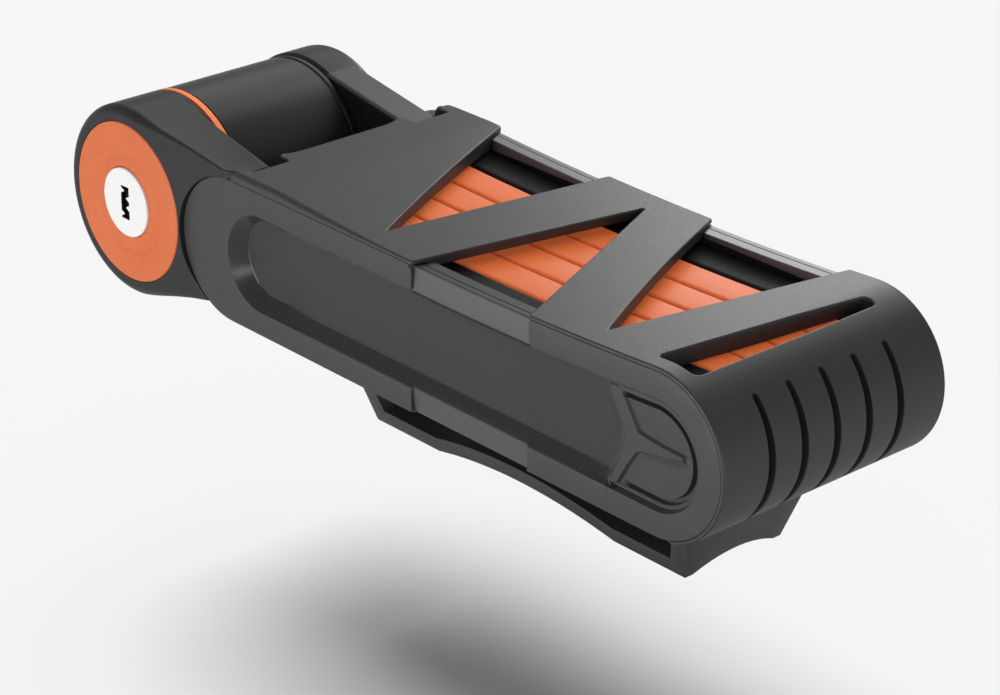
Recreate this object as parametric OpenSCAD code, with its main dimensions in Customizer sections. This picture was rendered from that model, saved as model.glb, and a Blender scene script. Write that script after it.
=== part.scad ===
// Folding bike lock, folded and pushed into its frame case.
// Six steel links lie side by side in the case. The first and last run out
// of the case mouth to the lock head and the tail of the barrel.
// Origin: middle of the two frame bolts, on the crown of the tube groove.
// +X along the case to its closed end, +Y to the rear side plate, +Z up.

/* [Folded links] */
// Thickness of one layer of the folded stack
layer_t = 8.4; // [7.6:0.1:9.4]
// Free gap between two layers
layer_gap = 0.3; // [0.2:0.05:0.5]
// Height of a link over its cover
link_h = 26; // [24:0.5:28]
// Draw-in of a link's long edges at the middle
link_waist = 1.4; // [0.8:0.1:1.9]
// Thickness of a steel link
steel_t = 5; // [4:0.25:5.5]
// Plastic above and below the steel
cover_edge = 2; // [1.5:0.25:3]
// Rivets at the closed end, from the middle of the frame bolts
end_rivet_x = 51; // [46:1:58]
// Distance between the rivets of an inner link
inner_pitch = 109; // [100:1:116]
// Diameter of a rivet shank
rivet_d = 8; // [6:0.5:9]
// Diameter of a rivet head
rivet_head_d = 13; // [11:0.5:14]
// Thickness of a rivet head
rivet_head_t = 1.3; // [0.8:0.1:1.4]
// Diameter of a washer between two links
washer_d = 14; // [12:0.5:15]

/* [Arms and barrel] */
// Distance from the barrel axis to the end rivets
arm_pitch = 154.6; // [150:1:164]
// Radius of the lock head and the barrel
barrel_r = 20.6; // [19:0.2:23]
// Shoulder of an arm, behind the inner rivets
shoulder_back = 10; // [7:0.5:12]
// Height of an arm's shoulder above the middle of the links
shoulder_rise = 14.9; // [14.1:0.1:15.5]
// Height of the front cheek at the case, above the middle of the links
cheek_rise = 16.7; // [15.5:0.1:17.5]
// Lower bend of an arm, behind the inner rivets
toe_back = 16; // [14.5:0.5:18]
// Start of the front cheek's slope, ahead of the barrel axis
cheek_start = 13.6; // [12:0.2:17]
// Stand of the lock head in front of the side plates
head_stand = 1.1; // [0.5:0.1:1.6]
// Depth of the lock head behind its front face
head_depth = 17.5; // [16.5:0.1:19]
// Thickness of the ring behind the head
ring_t = 1.2; // [0.8:0.1:2]
// Wall of the barrel sleeve
sleeve_wall = 3; // [2:0.25:4]
// Distance of the tail's outer face inside the case width
tail_inset = 2.2; // [1:0.1:3]

/* [Lock cylinder] */
// Radius of the bezel
bezel_r = 17.6; // [15:0.2:18.4]
// Thickness of the bezel
bezel_t = 3; // [2.4:0.1:3.6]
// Stand of the bezel in front of the head
bezel_stand = 0.15; // [0.05:0.05:0.6]
// Depth of the turned groove round the bezel's inner ring
bezel_groove = 0.6; // [0.3:0.1:1]
// Radius of the plug's face
plug_face_r = 7.5; // [6.6:0.1:8.2]
// Radius of the plug inside the cylinder
plug_r = 6.6; // [5.5:0.1:7]
// Stand of the plug's face in front of the bezel
plug_stand = 0.5; // [0.2:0.1:1]
// Radius of the cylinder body
cylinder_r = 12; // [10:0.25:13]
// Height of the keyway
keyway_h = 7.2; // [6.6:0.2:9]
// Width of the keyway
keyway_w = 2.7; // [2.2:0.1:3]
// Height of a ward at the keyway's side
ward_h = 1.36; // [1:0.04:1.6]
// Reach of a ward into the keyway
ward_w = 1.2; // [0.8:0.1:1.4]
// Radius of the locking stud
stud_r = 9; // [8:0.25:10]
// Length of the cross bar on the plug's tail
crossbar_l = 11; // [9:0.5:12]
// Width of the cross bar
crossbar_w = 4; // [3:0.25:4.5]

/* [Case] */
// Thickness of a side plate
plate_t = 3.4; // [2.8:0.1:4]
// Free gap between the stack and a side plate
side_gap = 0.4; // [0.3:0.05:0.8]
// Free gap between the lock and the soft pads
fit_gap = 0.3; // [0.3:0.05:0.6]
// Free gap between the links and the roof straps
roof_gap = 0.4; // [0.3:0.05:0.8]
// Thickness of the floor pad and the end bumper
pad_t = 1; // [0.6:0.1:1.6]
// Width of the ledge that a side plate is welded to
ledge = 1.85; // [1.2:0.05:2.4]
// Lip of the shell round a side plate
lip = 0.75; // [0.5:0.05:1.2]
// Dip of the case's top edge at its middle
case_waist = 1.6; // [0.8:0.1:1.9]
// Highest point of the top edge, ahead of the inner rivets
crest_fwd = 2; // [0:0.5:8]
// Reach of the mouth's cover behind the inner rivets
cover_reach = 13; // [11:0.5:14.5]
// Radius of a side plate's round ear
ear_r = 15.5; // [14:0.25:16]
// Centre of the ear, behind the inner rivets
ear_back = 12.4; // [10:0.2:13]
// Front end of a side plate's straight brow, ahead of the inner rivets
brow_fwd = 40; // [30:1:43]
// Gap of the roof's notches ahead of the shoulders
notch_gap = 1.6; // [0.6:0.1:3]
// Width of the rails beside the windows
rail_w = 4.8; // [3.8:0.1:5.4]
// Drop of a rail below the case's top edge
rail_drop = 1; // [0.8:0.05:1.1]
// Width of the rim round a side plate's recess
rim_w = 5.15; // [4:0.1:7]
// Centre of the recess's rear end, behind the inner rivets
recess_back = 2.8; // [0:0.2:6]
// Depth of a side plate's recess
recess_depth = 2.2; // [1:0.1:2.5]
// Height of the grip pad in the recess
grip_h = 1.2; // [0.6:0.1:1.8]
// Length of the grip pad
grip_l = 24; // [16:1:30]
// Setback of the rim where a window meets a plate
strip_step = 0.8; // [0.4:0.1:1.2]
// Width of a slot in the round end
slot_w = 1.7; // [1:0.1:3]
// Rise of the slots above the middle of the links
slot_rise = 12.4; // [9:0.2:13.4]
// Rise of the end bumper above the middle of the links
bumper_rise = 9; // [6:0.5:12]

/* [Roof windows] */
// Width of the first window at the rear edge
window_1_w = 32; // [20:1:38]
// Rear left corner of the first window, ahead of the inner rivets
window_1_x = 4.6; // [2:0.2:10]
// Tip of the first window at the front, ahead of its rear left corner
window_1_tip = 24.4; // [16:0.2:28]
// Width of the second window at the front edge
window_2_w = 32.6; // [20:1:34]
// Front left corner of the second window, ahead of the inner rivets
window_2_x = 43.4; // [42:0.2:48]
// Tip of the second window at the rear, ahead of its front left corner
window_2_tip = 9.3; // [4:0.1:16]
// Width of the third window at the rear edge
window_3_w = 35.6; // [24:1:38]
// Rear left corner of the third window, ahead of the inner rivets
window_3_x = 65.5; // [63:0.5:70]
// Tip of the third window at the front, ahead of its rear left corner
window_3_tip = 24.6; // [18:0.2:28]
// Distance of the window tips from the opposite edge
tip_inset = 6; // [4:0.25:9]
// Width of the lens-shaped window at its front end
lens_w = 9.4; // [5:0.2:11]
// Width of the lens-shaped window at its rear end
lens_end_w = 2.4; // [1:0.1:5]
// Length of the lens-shaped window across the case
lens_l = 45; // [30:1:48]

/* [Frame saddle] */
// Height from the tube groove's crown to the underside of the case
saddle_h = 14.45; // [13:0.25:22]
// Length of the saddle at its feet
saddle_l = 87.8; // [84:0.2:100]
// Width of the saddle at its feet
saddle_w = 25.5; // [24:0.5:32]
// Taper of the saddle's sides over its whole height
saddle_taper = 5; // [1:0.25:7]
// Depth of the feet below the groove's crown
foot_drop = 2.3; // [1.5:0.1:2.8]
// Radius of the frame tube that the groove fits
tube_r = 26; // [24:1:40]
// Thickness of the saddle's lower bar
bar_t = 3.2; // [2.6:0.1:4]
// Thickness of the saddle's top plate
deck_t = 2; // [1.5:0.1:3]
// Thickness of the saddle's end walls
end_wall = 4; // [3:0.25:6]
// Length of the arch between the feet
arch_l = 50; // [36:1:52]
// Rise of the arch
arch_rise = 3; // [1:0.1:3.4]
// Distance between the frame bolts
bolt_pitch = 64; // [50:1:66]
// Diameter of a frame bolt's hole
bolt_hole_d = 5.5; // [4:0.1:6]
// Diameter of the recess for a frame bolt's head
bolt_head_d = 10.4; // [8:0.2:11]
// Diameter of the columns round the frame bolts
column_d = 13; // [12:0.5:15]
// Diameter of a saddle screw
screw_d = 2.5; // [2:0.1:3]
// Diameter of a saddle screw's head
screw_head_d = 5; // [4:0.2:5.4]
// Length of a saddle screw under its head
screw_l = 9; // [6:0.5:11]
// Distance of a saddle screw from the middle of the case
screw_y = 8; // [5:0.5:10]

/* [Hidden] */
$fn = 96;
fine = 1440;
eps = 0.1;
slip = 0.05;
links = 6;
link_r = link_h / 2;
cavity_r = link_r + fit_gap + pad_t;
plate_r = cavity_r + ledge;
case_r = plate_r + lip;
mid_z = saddle_h + case_r;
floor_z = mid_z - cavity_r;
roof_z = mid_z + link_r + roof_gap;
half_in = links * layer_t / 2 + side_gap;
half_w = half_in + plate_t;
inner_x = end_rivet_x - inner_pitch;
barrel_x = end_rivet_x - arm_pitch;
shoulder_x = inner_x - shoulder_back;
toe_x = inner_x - toe_back;
mouth_x = inner_x - cover_reach;
crest_x = inner_x + crest_fwd;
ear_x = inner_x - ear_back;
brow_x = inner_x + brow_fwd;
recess_x = inner_x - recess_back;
ear_z = mid_z - plate_r + ear_r;
cover_half = (layer_t - layer_gap) / 2;
steel_h = link_h - 2 * cover_edge;
steel_gap = layer_t - steel_t;
far = 400;

// Middle of a layer, counted from the front
function layer_y(i) = (i - (links - 1) / 2) * layer_t;

head_y = -half_w - head_stand;
head_back = head_y + head_depth;
sleeve_y = head_back + ring_t;
tail_y = layer_y(links - 1) - cover_half;
tail_face = half_w - tail_inset;
tail_spigot = 3;
bezel_back = head_y - bezel_stand + bezel_t;
steel_front = layer_y(0) - steel_t / 2;
steel_back = layer_y(0) + steel_t / 2;
rear_steel_back = layer_y(links - 1) + steel_t / 2;
cylinder_back = steel_back + 0.6;
cylinder_flange_r = cylinder_r + 1.5;
clip_t = 0.9;
clip_r = plug_r + 1.2;
tail_pin_r = crossbar_w / 2;
tail_hub_r = 3.5;
tail_hub_y = cylinder_back + clip_t + 2 * slip;
stud_wall = 1.5;
stud_front = tail_hub_y + 1.3;
crossbar_y = stud_front + stud_wall + 0.5;
crossbar_t = 2.2;
socket_r = crossbar_l / 2 + 0.6;
socket_back = crossbar_y + crossbar_t + 0.5;
stud_neck_r = stud_r - 3;
steel_eye_r = cylinder_r + 5;
rear_eye_r = stud_neck_r + 6;

// Flat outline in x and z, carried along y
module slab(y0, y1) {
    translate([0, y1, 0]) rotate([90, 0, 0]) linear_extrude(y1 - y0) children();
}

// Round bar along y
module rod(x, r, y0, y1) {
    translate([x, y1, mid_z]) rotate([90, 0, 0]) cylinder(r = r, h = y1 - y0);
}

// Touching point of a line from p on the circle about c; turn picks the side
function touch_angle(p, c, r, turn) =
    atan2(p[1] - c[1], p[0] - c[0]) + turn * acos(r / norm(p - c));
function touch(p, c, r, turn) =
    c + r * [cos(touch_angle(p, c, r, turn)), sin(touch_angle(p, c, r, turn))];

// Radius of a shallow arc from its chord and its rise
function arc_r(chord, rise) = (chord * chord / 4 + rise * rise) / (2 * rise);

// Link outline with round ends and drawn-in long edges
module link_shape(h) {
    r = arc_r(inner_pitch, link_waist);
    difference() {
        union() {
            for (x = [inner_x, end_rivet_x]) translate([x, mid_z]) circle(d = h);
            translate([inner_x, mid_z - h / 2]) square([inner_pitch, h]);
        }
        for (s = [-1, 1])
            translate([inner_x + inner_pitch / 2, mid_z + s * (h / 2 - link_waist + r)])
                circle(r = r, $fn = fine);
    }
}

// Arm outline: link, raised shoulder and a taper that meets the barrel's round
module arm_shape(rise) {
    axis = [barrel_x, mid_z];
    shoulder = [shoulder_x, mid_z + rise];
    toe = [toe_x, mid_z - link_r];
    link_shape(link_h);
    translate([shoulder_x, mid_z - link_r]) square([inner_x - shoulder_x, link_h]);
    polygon([touch(shoulder, axis, barrel_r, 1), axis, touch(toe, axis, barrel_r, -1),
        toe, [shoulder_x, mid_z - link_r], shoulder]);
    translate(axis) circle(r = barrel_r);
}

// Steel bar of an arm, with an eye on the barrel axis
module arm_steel_shape(eye_r) {
    link_shape(steel_h);
    translate([barrel_x, mid_z - steel_h / 2]) square([inner_x - barrel_x, steel_h]);
    translate([barrel_x, mid_z]) circle(r = eye_r);
}

// Height of the waisted top edge of a side plate over x
function waist_top(x) =
    let (chord = end_rivet_x - crest_x, r = arc_r(chord, case_waist), t = x - crest_x - chord / 2)
    mid_z + plate_r - case_waist + r - sqrt(r * r - t * t);

// Round that draws in the top edge, for an outline grown by g
module waist_cut(g) {
    chord = end_rivet_x - crest_x;
    r = arc_r(chord, case_waist);
    translate([crest_x + chord / 2, mid_z + plate_r + g - case_waist + r]) circle(r = r, $fn = fine);
}

// Side plate outline, grown by g: round end, waisted top, straight brow, foot and ear
module plate_shape(g) {
    top = mid_z + plate_r + g;
    low = mid_z - plate_r - g;
    brow = [brow_x - g, waist_top(brow_x - g) + g - slip];
    ear = [ear_x, ear_z];
    difference() {
        union() {
            translate([end_rivet_x, mid_z]) circle(r = plate_r + g);
            translate(ear) circle(r = ear_r + g);
            polygon([[ear_x, low], [end_rivet_x, low], [end_rivet_x, top], [brow[0], top], brow,
                touch(brow, ear, ear_r + g, 1)]);
        }
        waist_cut(g);
    }
}

// Stretch under the waisted top edge, lowered by drop
module under_waist(drop) {
    difference() {
        translate([crest_x, mid_z]) square([end_rivet_x - crest_x, case_r - drop]);
        waist_cut(lip - drop);
    }
}

// Outline of the case shell: waisted top, round end and level cover at the mouth
module case_shape() {
    translate([end_rivet_x, mid_z]) circle(r = case_r);
    difference() {
        translate([mouth_x, mid_z - case_r]) square([end_rivet_x - mouth_x, 2 * case_r]);
        waist_cut(lip);
    }
}

// Space that holds the folded lock
module cavity_shape() {
    intersection() {
        union() {
            translate([end_rivet_x, mid_z]) circle(r = cavity_r);
            translate([mouth_x - far, mid_z - cavity_r]) square([end_rivet_x - mouth_x + far, 2 * cavity_r]);
        }
        translate([-far, roof_z - far]) square([2 * far, far]);
    }
}

// Roof window seen from above
module window(points) {
    translate([0, 0, mid_z]) linear_extrude(far) polygon(points);
}

// Three slanted windows and the lens-shaped one at the round end
module roof_windows() {
    edge = half_w + eps;
    tip = half_w - tip_inset;
    x1 = inner_x + window_1_x;
    x2 = inner_x + window_2_x;
    x3 = inner_x + window_3_x;
    lens_x = end_rivet_x + lens_end_w + 3.2;
    window([[x1, edge], [x1 + window_1_tip, -tip], [x1 + window_1_tip + 1, -tip], [x1 + window_1_w, edge]]);
    window([[x2, -edge], [x2 + window_2_w, -edge], [x2 + window_2_tip + 1, tip], [x2 + window_2_tip, tip]]);
    window([[x3, edge], [x3 + window_3_tip, -tip], [x3 + window_3_tip + 1, -tip], [x3 + window_3_w, edge]]);
    window([[lens_x - lens_w, -lens_l / 2 - 2], [lens_x, -lens_l / 2 - 2], [lens_x, lens_l / 2 - 2],
        [lens_x - lens_end_w, lens_l / 2 - 2]]);
}

// Moulded band of the case: floor, round slotted end, roof straps and cover
module case_shell() {
    color("#4c4c4c") difference() {
        slab(-half_w, half_w) case_shape();
        slab(-half_in, half_in) cavity_shape();
        slab(-half_w - eps, -half_in) plate_shape(slip);
        slab(half_in, half_w + eps) plate_shape(slip);
        foot_relief();
        roof_windows();
        arm_notches();
        end_slots();
        floor_holes();
    }
}

// Relief under the straight foot of each side plate, where the shell has no lip
module foot_relief() {
    for (y = [-half_w - eps, half_in])
        translate([mouth_x - eps, y, 0]) cube([end_rivet_x - mouth_x + eps, plate_t + eps, mid_z - plate_r]);
}

// Notches in the roof over the shoulders of the arms
module arm_notches() {
    depth = half_in - layer_y(links - 1) + layer_t / 2 + fit_gap;
    for (s = [-1, 1])
        translate([mouth_x - eps, s * (half_in - depth / 2) - depth / 2, mid_z])
            cube([shoulder_x + notch_gap - mouth_x + eps, depth, far]);
}

// Slots round the closed end, one over each gap of the stack
module end_slots() {
    for (i = [1 : links - 1])
        translate([end_rivet_x, layer_y(i) - layer_t / 2 - slot_w / 2, mid_z - slot_rise])
            cube([far, slot_w, 2 * slot_rise]);
}

// Floor openings for the heads of the frame bolts and the saddle screws
module floor_holes() {
    for (s = [-1, 1])
        translate([s * bolt_pitch / 2, 0, mid_z - case_r - eps]) cylinder(d = bolt_head_d, h = case_r);
    saddle_screw_row() {
        translate([0, 0, -screw_l]) cylinder(d = screw_d + 2 * slip, h = 2 * screw_l);
        cylinder(d = screw_head_d + 2 * slip, h = case_r / 2);
    }
}

// Four places of the saddle screws, at the underside of their heads
module saddle_screw_row() {
    x = saddle_l / 2 + saddle_taper - end_wall / 2 - 1.6;
    z = floor_z - 1.4;
    for (sx = [-1, 1], sy = [-1, 1]) translate([sx * x, sy * screw_y, z]) children();
}

// Front side plate at its place; the rear one is its mirror image
module side_plate(strips) {
    difference() {
        union() {
            slab(-half_w, -half_in) plate_shape(0);
            for (s = strips) rail(s[0], s[1], s[2], s[3]);
        }
        difference() {
            slab(-half_w - eps, -half_w + recess_depth) recess_shape();
            grip_pad();
        }
        for (s = strips) strip_setback(s[0], s[1]);
    }
}

// Recess outline: the plate's outline drawn in by the rim, with a round rear end
module recess_shape() {
    intersection() {
        plate_shape(-rim_w);
        union() {
            translate([recess_x, ear_z]) circle(r = ear_r - rim_w);
            translate([recess_x, 0]) square([far, far]);
        }
    }
}

// Raised grip at the round end of the recess
module grip_pad() {
    x = end_rivet_x + plate_r - rim_w - grip_l;
    intersection() {
        slab(-half_w + recess_depth - grip_h, half_w) recess_shape();
        translate([x, -half_w, 0]) cube([far, half_w, far]);
    }
}

// Flange that carries the rim inwards beside a window, between the straps' edges
module rail(x0, x1, lean_0, lean_1) {
    y0 = -half_in - 1;
    y1 = -half_w + rail_w;
    a = (y0 + half_w) / (2 * half_w - tip_inset);
    b = (y1 + half_w) / (2 * half_w - tip_inset);
    intersection() {
        translate([0, 0, roof_z]) linear_extrude(far)
            polygon([[x0 + lean_0 * a + slip, y0], [x1 + lean_1 * a - slip, y0],
                [x1 + lean_1 * b - slip, y1], [x0 + lean_0 * b + slip, y1]]);
        slab(-half_w, half_w) under_waist(rail_drop);
    }
}

// Stretch of the rim that lies deeper, where the shell is open beside it
module strip_setback(x0, x1) {
    difference() {
        translate([x0, -half_w - eps, 0]) cube([x1 - x0, strip_step + eps, far]);
        slab(-half_w - 1, half_w) recess_shape();
    }
    difference() {
        translate([x0, -half_w - eps, mid_z]) cube([x1 - x0, half_w, far]);
        slab(-half_w - 1, half_w) under_waist(rail_drop);
    }
}

// Front side plate, inlaid and welded to the shell's ledge
module front_side_plate() {
    x2 = inner_x + window_2_x;
    color("#525252") side_plate([[x2, x2 + window_2_w, window_2_tip, window_2_tip - window_2_w]]);
}

// Rear side plate, inlaid and welded to the shell's ledge
module rear_side_plate() {
    x1 = inner_x + window_1_x;
    x3 = inner_x + window_3_x;
    strip_1 = [x1, x1 + window_1_w, window_1_tip, window_1_tip - window_1_w];
    strip_3 = [x3, x3 + window_3_w, window_3_tip, window_3_tip - window_3_w];
    color("#525252") mirror([0, 1, 0]) side_plate([strip_1, strip_3]);
}

// Soft strip on the case floor under the links
module floor_pad() {
    w = links * layer_t - 2 * side_gap;
    color("#262626") difference() {
        translate([mouth_x + 4, -w / 2, floor_z]) cube([end_rivet_x - mouth_x - 4, w, pad_t]);
        for (s = [-1, 1])
            translate([s * bolt_pitch / 2, 0, floor_z - eps]) cylinder(d = bolt_head_d, h = pad_t + 2 * eps);
    }
}

// Soft lining of the round end, which the folded links stop against
module end_bumper() {
    w = links * layer_t - 2 * side_gap;
    color("#262626") slab(-w / 2, w / 2) difference() {
        translate([end_rivet_x, mid_z]) circle(r = cavity_r - slip);
        translate([end_rivet_x, mid_z]) circle(r = cavity_r - pad_t);
        translate([end_rivet_x - far, mid_z - far / 2]) square([far, far]);
        translate([-far, mid_z + bumper_rise]) square([2 * far, far]);
    }
}

// Foot under the case: tapered, arched, grooved for a tube, open for straps
module frame_saddle() {
    x_top = saddle_l / 2 + saddle_taper;
    y_top = saddle_w / 2 + saddle_taper;
    color("#464646") difference() {
        union() {
            difference() {
                intersection() {
                    slab(-half_w, half_w) saddle_side(x_top);
                    saddle_end(y_top);
                }
                slab(-half_w, half_w) saddle_slot();
                tube_groove();
            }
            intersection() {
                saddle_cores();
                saddle_end(y_top);
            }
        }
        for (s = [-1, 1])
            translate([s * bolt_pitch / 2, 0, -foot_drop - eps])
                cylinder(d = bolt_hole_d, h = saddle_h + foot_drop + 1);
        saddle_screw_row() translate([0, 0, -screw_l - eps]) cylinder(d = screw_d + 2 * slip, h = screw_l + 2);
    }
}

// Side view of the saddle, tapered to its feet and arched between them
module saddle_side(x_top) {
    r = arc_r(arch_l, arch_rise);
    difference() {
        polygon([[-saddle_l / 2, -foot_drop], [saddle_l / 2, -foot_drop], [x_top, saddle_h], [-x_top, saddle_h]]);
        translate([0, -foot_drop + arch_rise - r]) circle(r = r, $fn = fine);
    }
}

// End view of the saddle, tapered to its feet, carried along x
module saddle_end(y_top) {
    translate([-far / 2, 0, 0]) rotate([90, 0, 90]) linear_extrude(far)
        polygon([[-saddle_w / 2, -foot_drop], [saddle_w / 2, -foot_drop], [y_top, saddle_h], [-y_top, saddle_h]]);
}

// Strap slot between the lower bar and the top plate
module saddle_slot() {
    r = arc_r(arch_l, arch_rise);
    slope = saddle_taper / (saddle_h + foot_drop);
    low = bar_t - foot_drop;
    x_low = saddle_l / 2 - end_wall + slope * bar_t;
    x_high = saddle_l / 2 - end_wall + slope * (saddle_h - deck_t + foot_drop);
    difference() {
        polygon([[-x_low, low], [x_low, low], [x_high, saddle_h - deck_t], [-x_high, saddle_h - deck_t]]);
        translate([0, low + arch_rise - r]) circle(r = r, $fn = fine);
    }
}

// Groove along the underside for the frame tube
module tube_groove() {
    translate([-far / 2, 0, -tube_r]) rotate([0, 90, 0]) cylinder(r = tube_r, h = far, $fn = fine / 4);
}

// Spine over the groove and the columns round the frame bolts
module saddle_cores() {
    spine_w = column_d - 3;
    spine_z = bar_t + arch_rise - foot_drop + 1.2;
    difference() {
        union() {
            translate([-saddle_l / 2 + end_wall / 2, -spine_w / 2, -foot_drop])
                cube([saddle_l - end_wall, spine_w, spine_z + foot_drop]);
            for (s = [-1, 1])
                translate([s * bolt_pitch / 2, 0, -foot_drop]) cylinder(d = column_d, h = saddle_h + foot_drop);
        }
        tube_groove();
        slab(-half_w, half_w) translate([0, -foot_drop + arch_rise - arc_r(arch_l, arch_rise)])
            circle(r = arc_r(arch_l, arch_rise), $fn = fine);
    }
}

// Countersunk screws that hold the saddle under the case floor
module saddle_screws() {
    color("#8a8a8a") saddle_screw_row() {
        cylinder(d = screw_head_d, h = 1.3);
        translate([0, 0, -screw_l]) cylinder(d = screw_d, h = screw_l + eps);
    }
}

// Plastic moulding over the first link, with the round lock head
module front_arm() {
    color("#454545") difference() {
        union() {
            slab(layer_y(0) - cover_half, layer_y(0) + cover_half) arm_shape(shoulder_rise);
            slab(head_y, layer_y(0) - cover_half) arm_cheek(cheek_rise);
            rod(barrel_x, barrel_r, layer_y(0), head_back);
        }
        slab(steel_front - slip, steel_back + slip) arm_pocket(steel_eye_r + slip);
        rod(end_rivet_x, washer_d / 2 + fit_gap, -half_w, 0);
        rod(barrel_x, bezel_r + slip, head_y - eps, bezel_back);
        rod(barrel_x, cylinder_flange_r + slip, head_y, steel_front);
        rod(barrel_x, cylinder_r + slip, head_y, cylinder_back + slip);
        rod(barrel_x, stud_r + slip, cylinder_back, head_back + eps);
        cheek_slope();
    }
}

// Slope of the front cheek towards the case, seen from above
module cheek_slope() {
    x = barrel_x + cheek_start;
    translate([0, 0, -far / 2]) linear_extrude(far)
        polygon([[x, head_y], [x, head_y - 2], [mouth_x, head_y - 2], [mouth_x, layer_y(0) - cover_half - fit_gap]]);
}

// Outer cheek of an arm, cut back round the ear of the side plate
module arm_cheek(rise) {
    difference() {
        arm_shape(rise);
        plate_shape(fit_gap);
        translate([mouth_x - fit_gap, -far / 2]) square([far, far]);
    }
}

// Pocket in an arm for its steel bar
module arm_pocket(eye_r) {
    link_shape(steel_h + 2 * slip);
    translate([barrel_x, mid_z - steel_h / 2 - slip]) square([inner_x - barrel_x, steel_h + 2 * slip]);
    translate([barrel_x, mid_z]) circle(r = eye_r);
}

// Plastic moulding over the last link, with the round tail of the barrel
module rear_arm() {
    y0 = layer_y(links - 1) - cover_half;
    y1 = layer_y(links - 1) + cover_half;
    color("#454545") difference() {
        union() {
            slab(y0, y1) arm_shape(shoulder_rise);
            slab(y1, tail_face) arm_cheek(shoulder_rise);
            rod(barrel_x, barrel_r - sleeve_wall - slip, y0 - tail_spigot, y0 + eps);
        }
        slab(rear_steel_back - steel_t - slip, rear_steel_back + slip) arm_pocket(rear_eye_r + slip);
        rod(end_rivet_x, washer_d / 2 + fit_gap, 0, half_w);
        rod(barrel_x, stud_r + slip, 0, rear_steel_back - steel_t);
        rod(barrel_x, stud_r + slip, rear_steel_back, rear_steel_back + rivet_head_t + slip);
    }
}

// Moulded cover of an inner link
module link_cover(i) {
    y = layer_y(i);
    color("#e2703a") difference() {
        slab(y - cover_half, y + cover_half) link_shape(link_h);
        slab(y - steel_t / 2 - slip, y + steel_t / 2 + slip) link_shape(steel_h + 2 * slip);
        for (x = [inner_x, end_rivet_x]) rod(x, washer_d / 2 + fit_gap, y - layer_t, y + layer_t);
    }
}

// Hardened bar of an inner link
module inner_steel(i) {
    y = layer_y(i);
    color("#9a9da0") difference() {
        slab(y - steel_t / 2, y + steel_t / 2) link_shape(steel_h);
        for (x = [inner_x, end_rivet_x]) rod(x, rivet_d / 2 + slip, y - steel_t, y + steel_t);
    }
}

// Hardened bar of the first link, bored for the lock cylinder
module front_steel_link() {
    y = layer_y(0);
    color("#9a9da0") difference() {
        slab(y - steel_t / 2, y + steel_t / 2) arm_steel_shape(steel_eye_r);
        rod(barrel_x, cylinder_r + slip, y - steel_t, y + steel_t);
        rod(end_rivet_x, rivet_d / 2 + slip, y - steel_t, y + steel_t);
    }
}

// Hardened bar of the last link, bored for the locking stud
module rear_steel_link() {
    y = layer_y(links - 1);
    color("#9a9da0") difference() {
        slab(y - steel_t / 2, y + steel_t / 2) arm_steel_shape(rear_eye_r);
        rod(barrel_x, stud_neck_r + slip, y - steel_t, y + steel_t);
        rod(end_rivet_x, rivet_d / 2 + slip, y - steel_t, y + steel_t);
    }
}

// Rivet through two neighbouring links, headed on both sides
module rivet(x, i) {
    y0 = layer_y(i) - steel_t / 2;
    y1 = layer_y(i + 1) + steel_t / 2;
    rod(x, rivet_d / 2, y0 - rivet_head_t, y1 + rivet_head_t);
    rod(x, rivet_head_d / 2, y0 - rivet_head_t, y0);
    rod(x, rivet_head_d / 2, y1, y1 + rivet_head_t);
}

// Rivets at the closed end of the case
module end_rivets() {
    color("#b4b6b8") for (i = [0 : 2 : links - 2]) rivet(end_rivet_x, i);
}

// Rivets near the barrel, through the inner links only
module inner_rivets() {
    color("#b4b6b8") for (i = [1 : 2 : links - 3]) rivet(inner_x, i);
}

// Spacer between two riveted links
module link_washer(x, i) {
    y = (layer_y(i) + layer_y(i + 1)) / 2;
    difference() {
        rod(x, washer_d / 2, y - steel_gap / 2 + slip, y + steel_gap / 2 - slip);
        rod(x, rivet_d / 2 + slip, y - steel_gap, y + steel_gap);
    }
}

// Spacers on all the rivets
module link_washers() {
    color("#d8d4c4") {
        for (i = [0 : 2 : links - 2]) link_washer(end_rivet_x, i);
        for (i = [1 : 2 : links - 3]) link_washer(inner_x, i);
    }
}

// Fixed body of the lock cylinder, flanged in front of the first steel link
module cylinder_body() {
    color("#b8a878") difference() {
        union() {
            rod(barrel_x, cylinder_flange_r, bezel_back, steel_front);
            rod(barrel_x, cylinder_r, bezel_back, cylinder_back);
        }
        rod(barrel_x, plug_r + slip, head_y, 0);
        rod(barrel_x, plug_face_r + 2 * slip, head_y, bezel_back + 1);
    }
}

// Orange disc round the plug, with a turned groove between two flat rings
module key_bezel() {
    y0 = head_y - bezel_stand;
    groove_in = plug_face_r + (bezel_r - plug_face_r) * 0.28;
    groove_out = plug_face_r + (bezel_r - plug_face_r) * 0.4;
    color("#e8744a") difference() {
        rod(barrel_x, bezel_r, y0, bezel_back);
        rod(barrel_x, plug_face_r + 2 * slip, y0 - eps, bezel_back + eps);
        difference() {
            rod(barrel_x, groove_out, y0 - eps, y0 + bezel_groove);
            rod(barrel_x, groove_in, y0 - 2 * eps, y0 + 2 * bezel_groove);
        }
    }
}

// Orange ring that shows between the head and the sleeve
module barrel_ring() {
    color("#e8703a") difference() {
        rod(barrel_x, barrel_r, head_back, sleeve_y);
        rod(barrel_x, stud_r + fit_gap, head_back - eps, sleeve_y + eps);
    }
}

// Sleeve over the locking stud, closed towards the head by a bored wall
module barrel_sleeve() {
    color("#383838") difference() {
        rod(barrel_x, barrel_r, sleeve_y, tail_y);
        rod(barrel_x, barrel_r - sleeve_wall, sleeve_y + sleeve_wall, tail_y + eps);
        rod(barrel_x, stud_r + slip, sleeve_y - eps, sleeve_y + 2 * sleeve_wall);
    }
}

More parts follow.
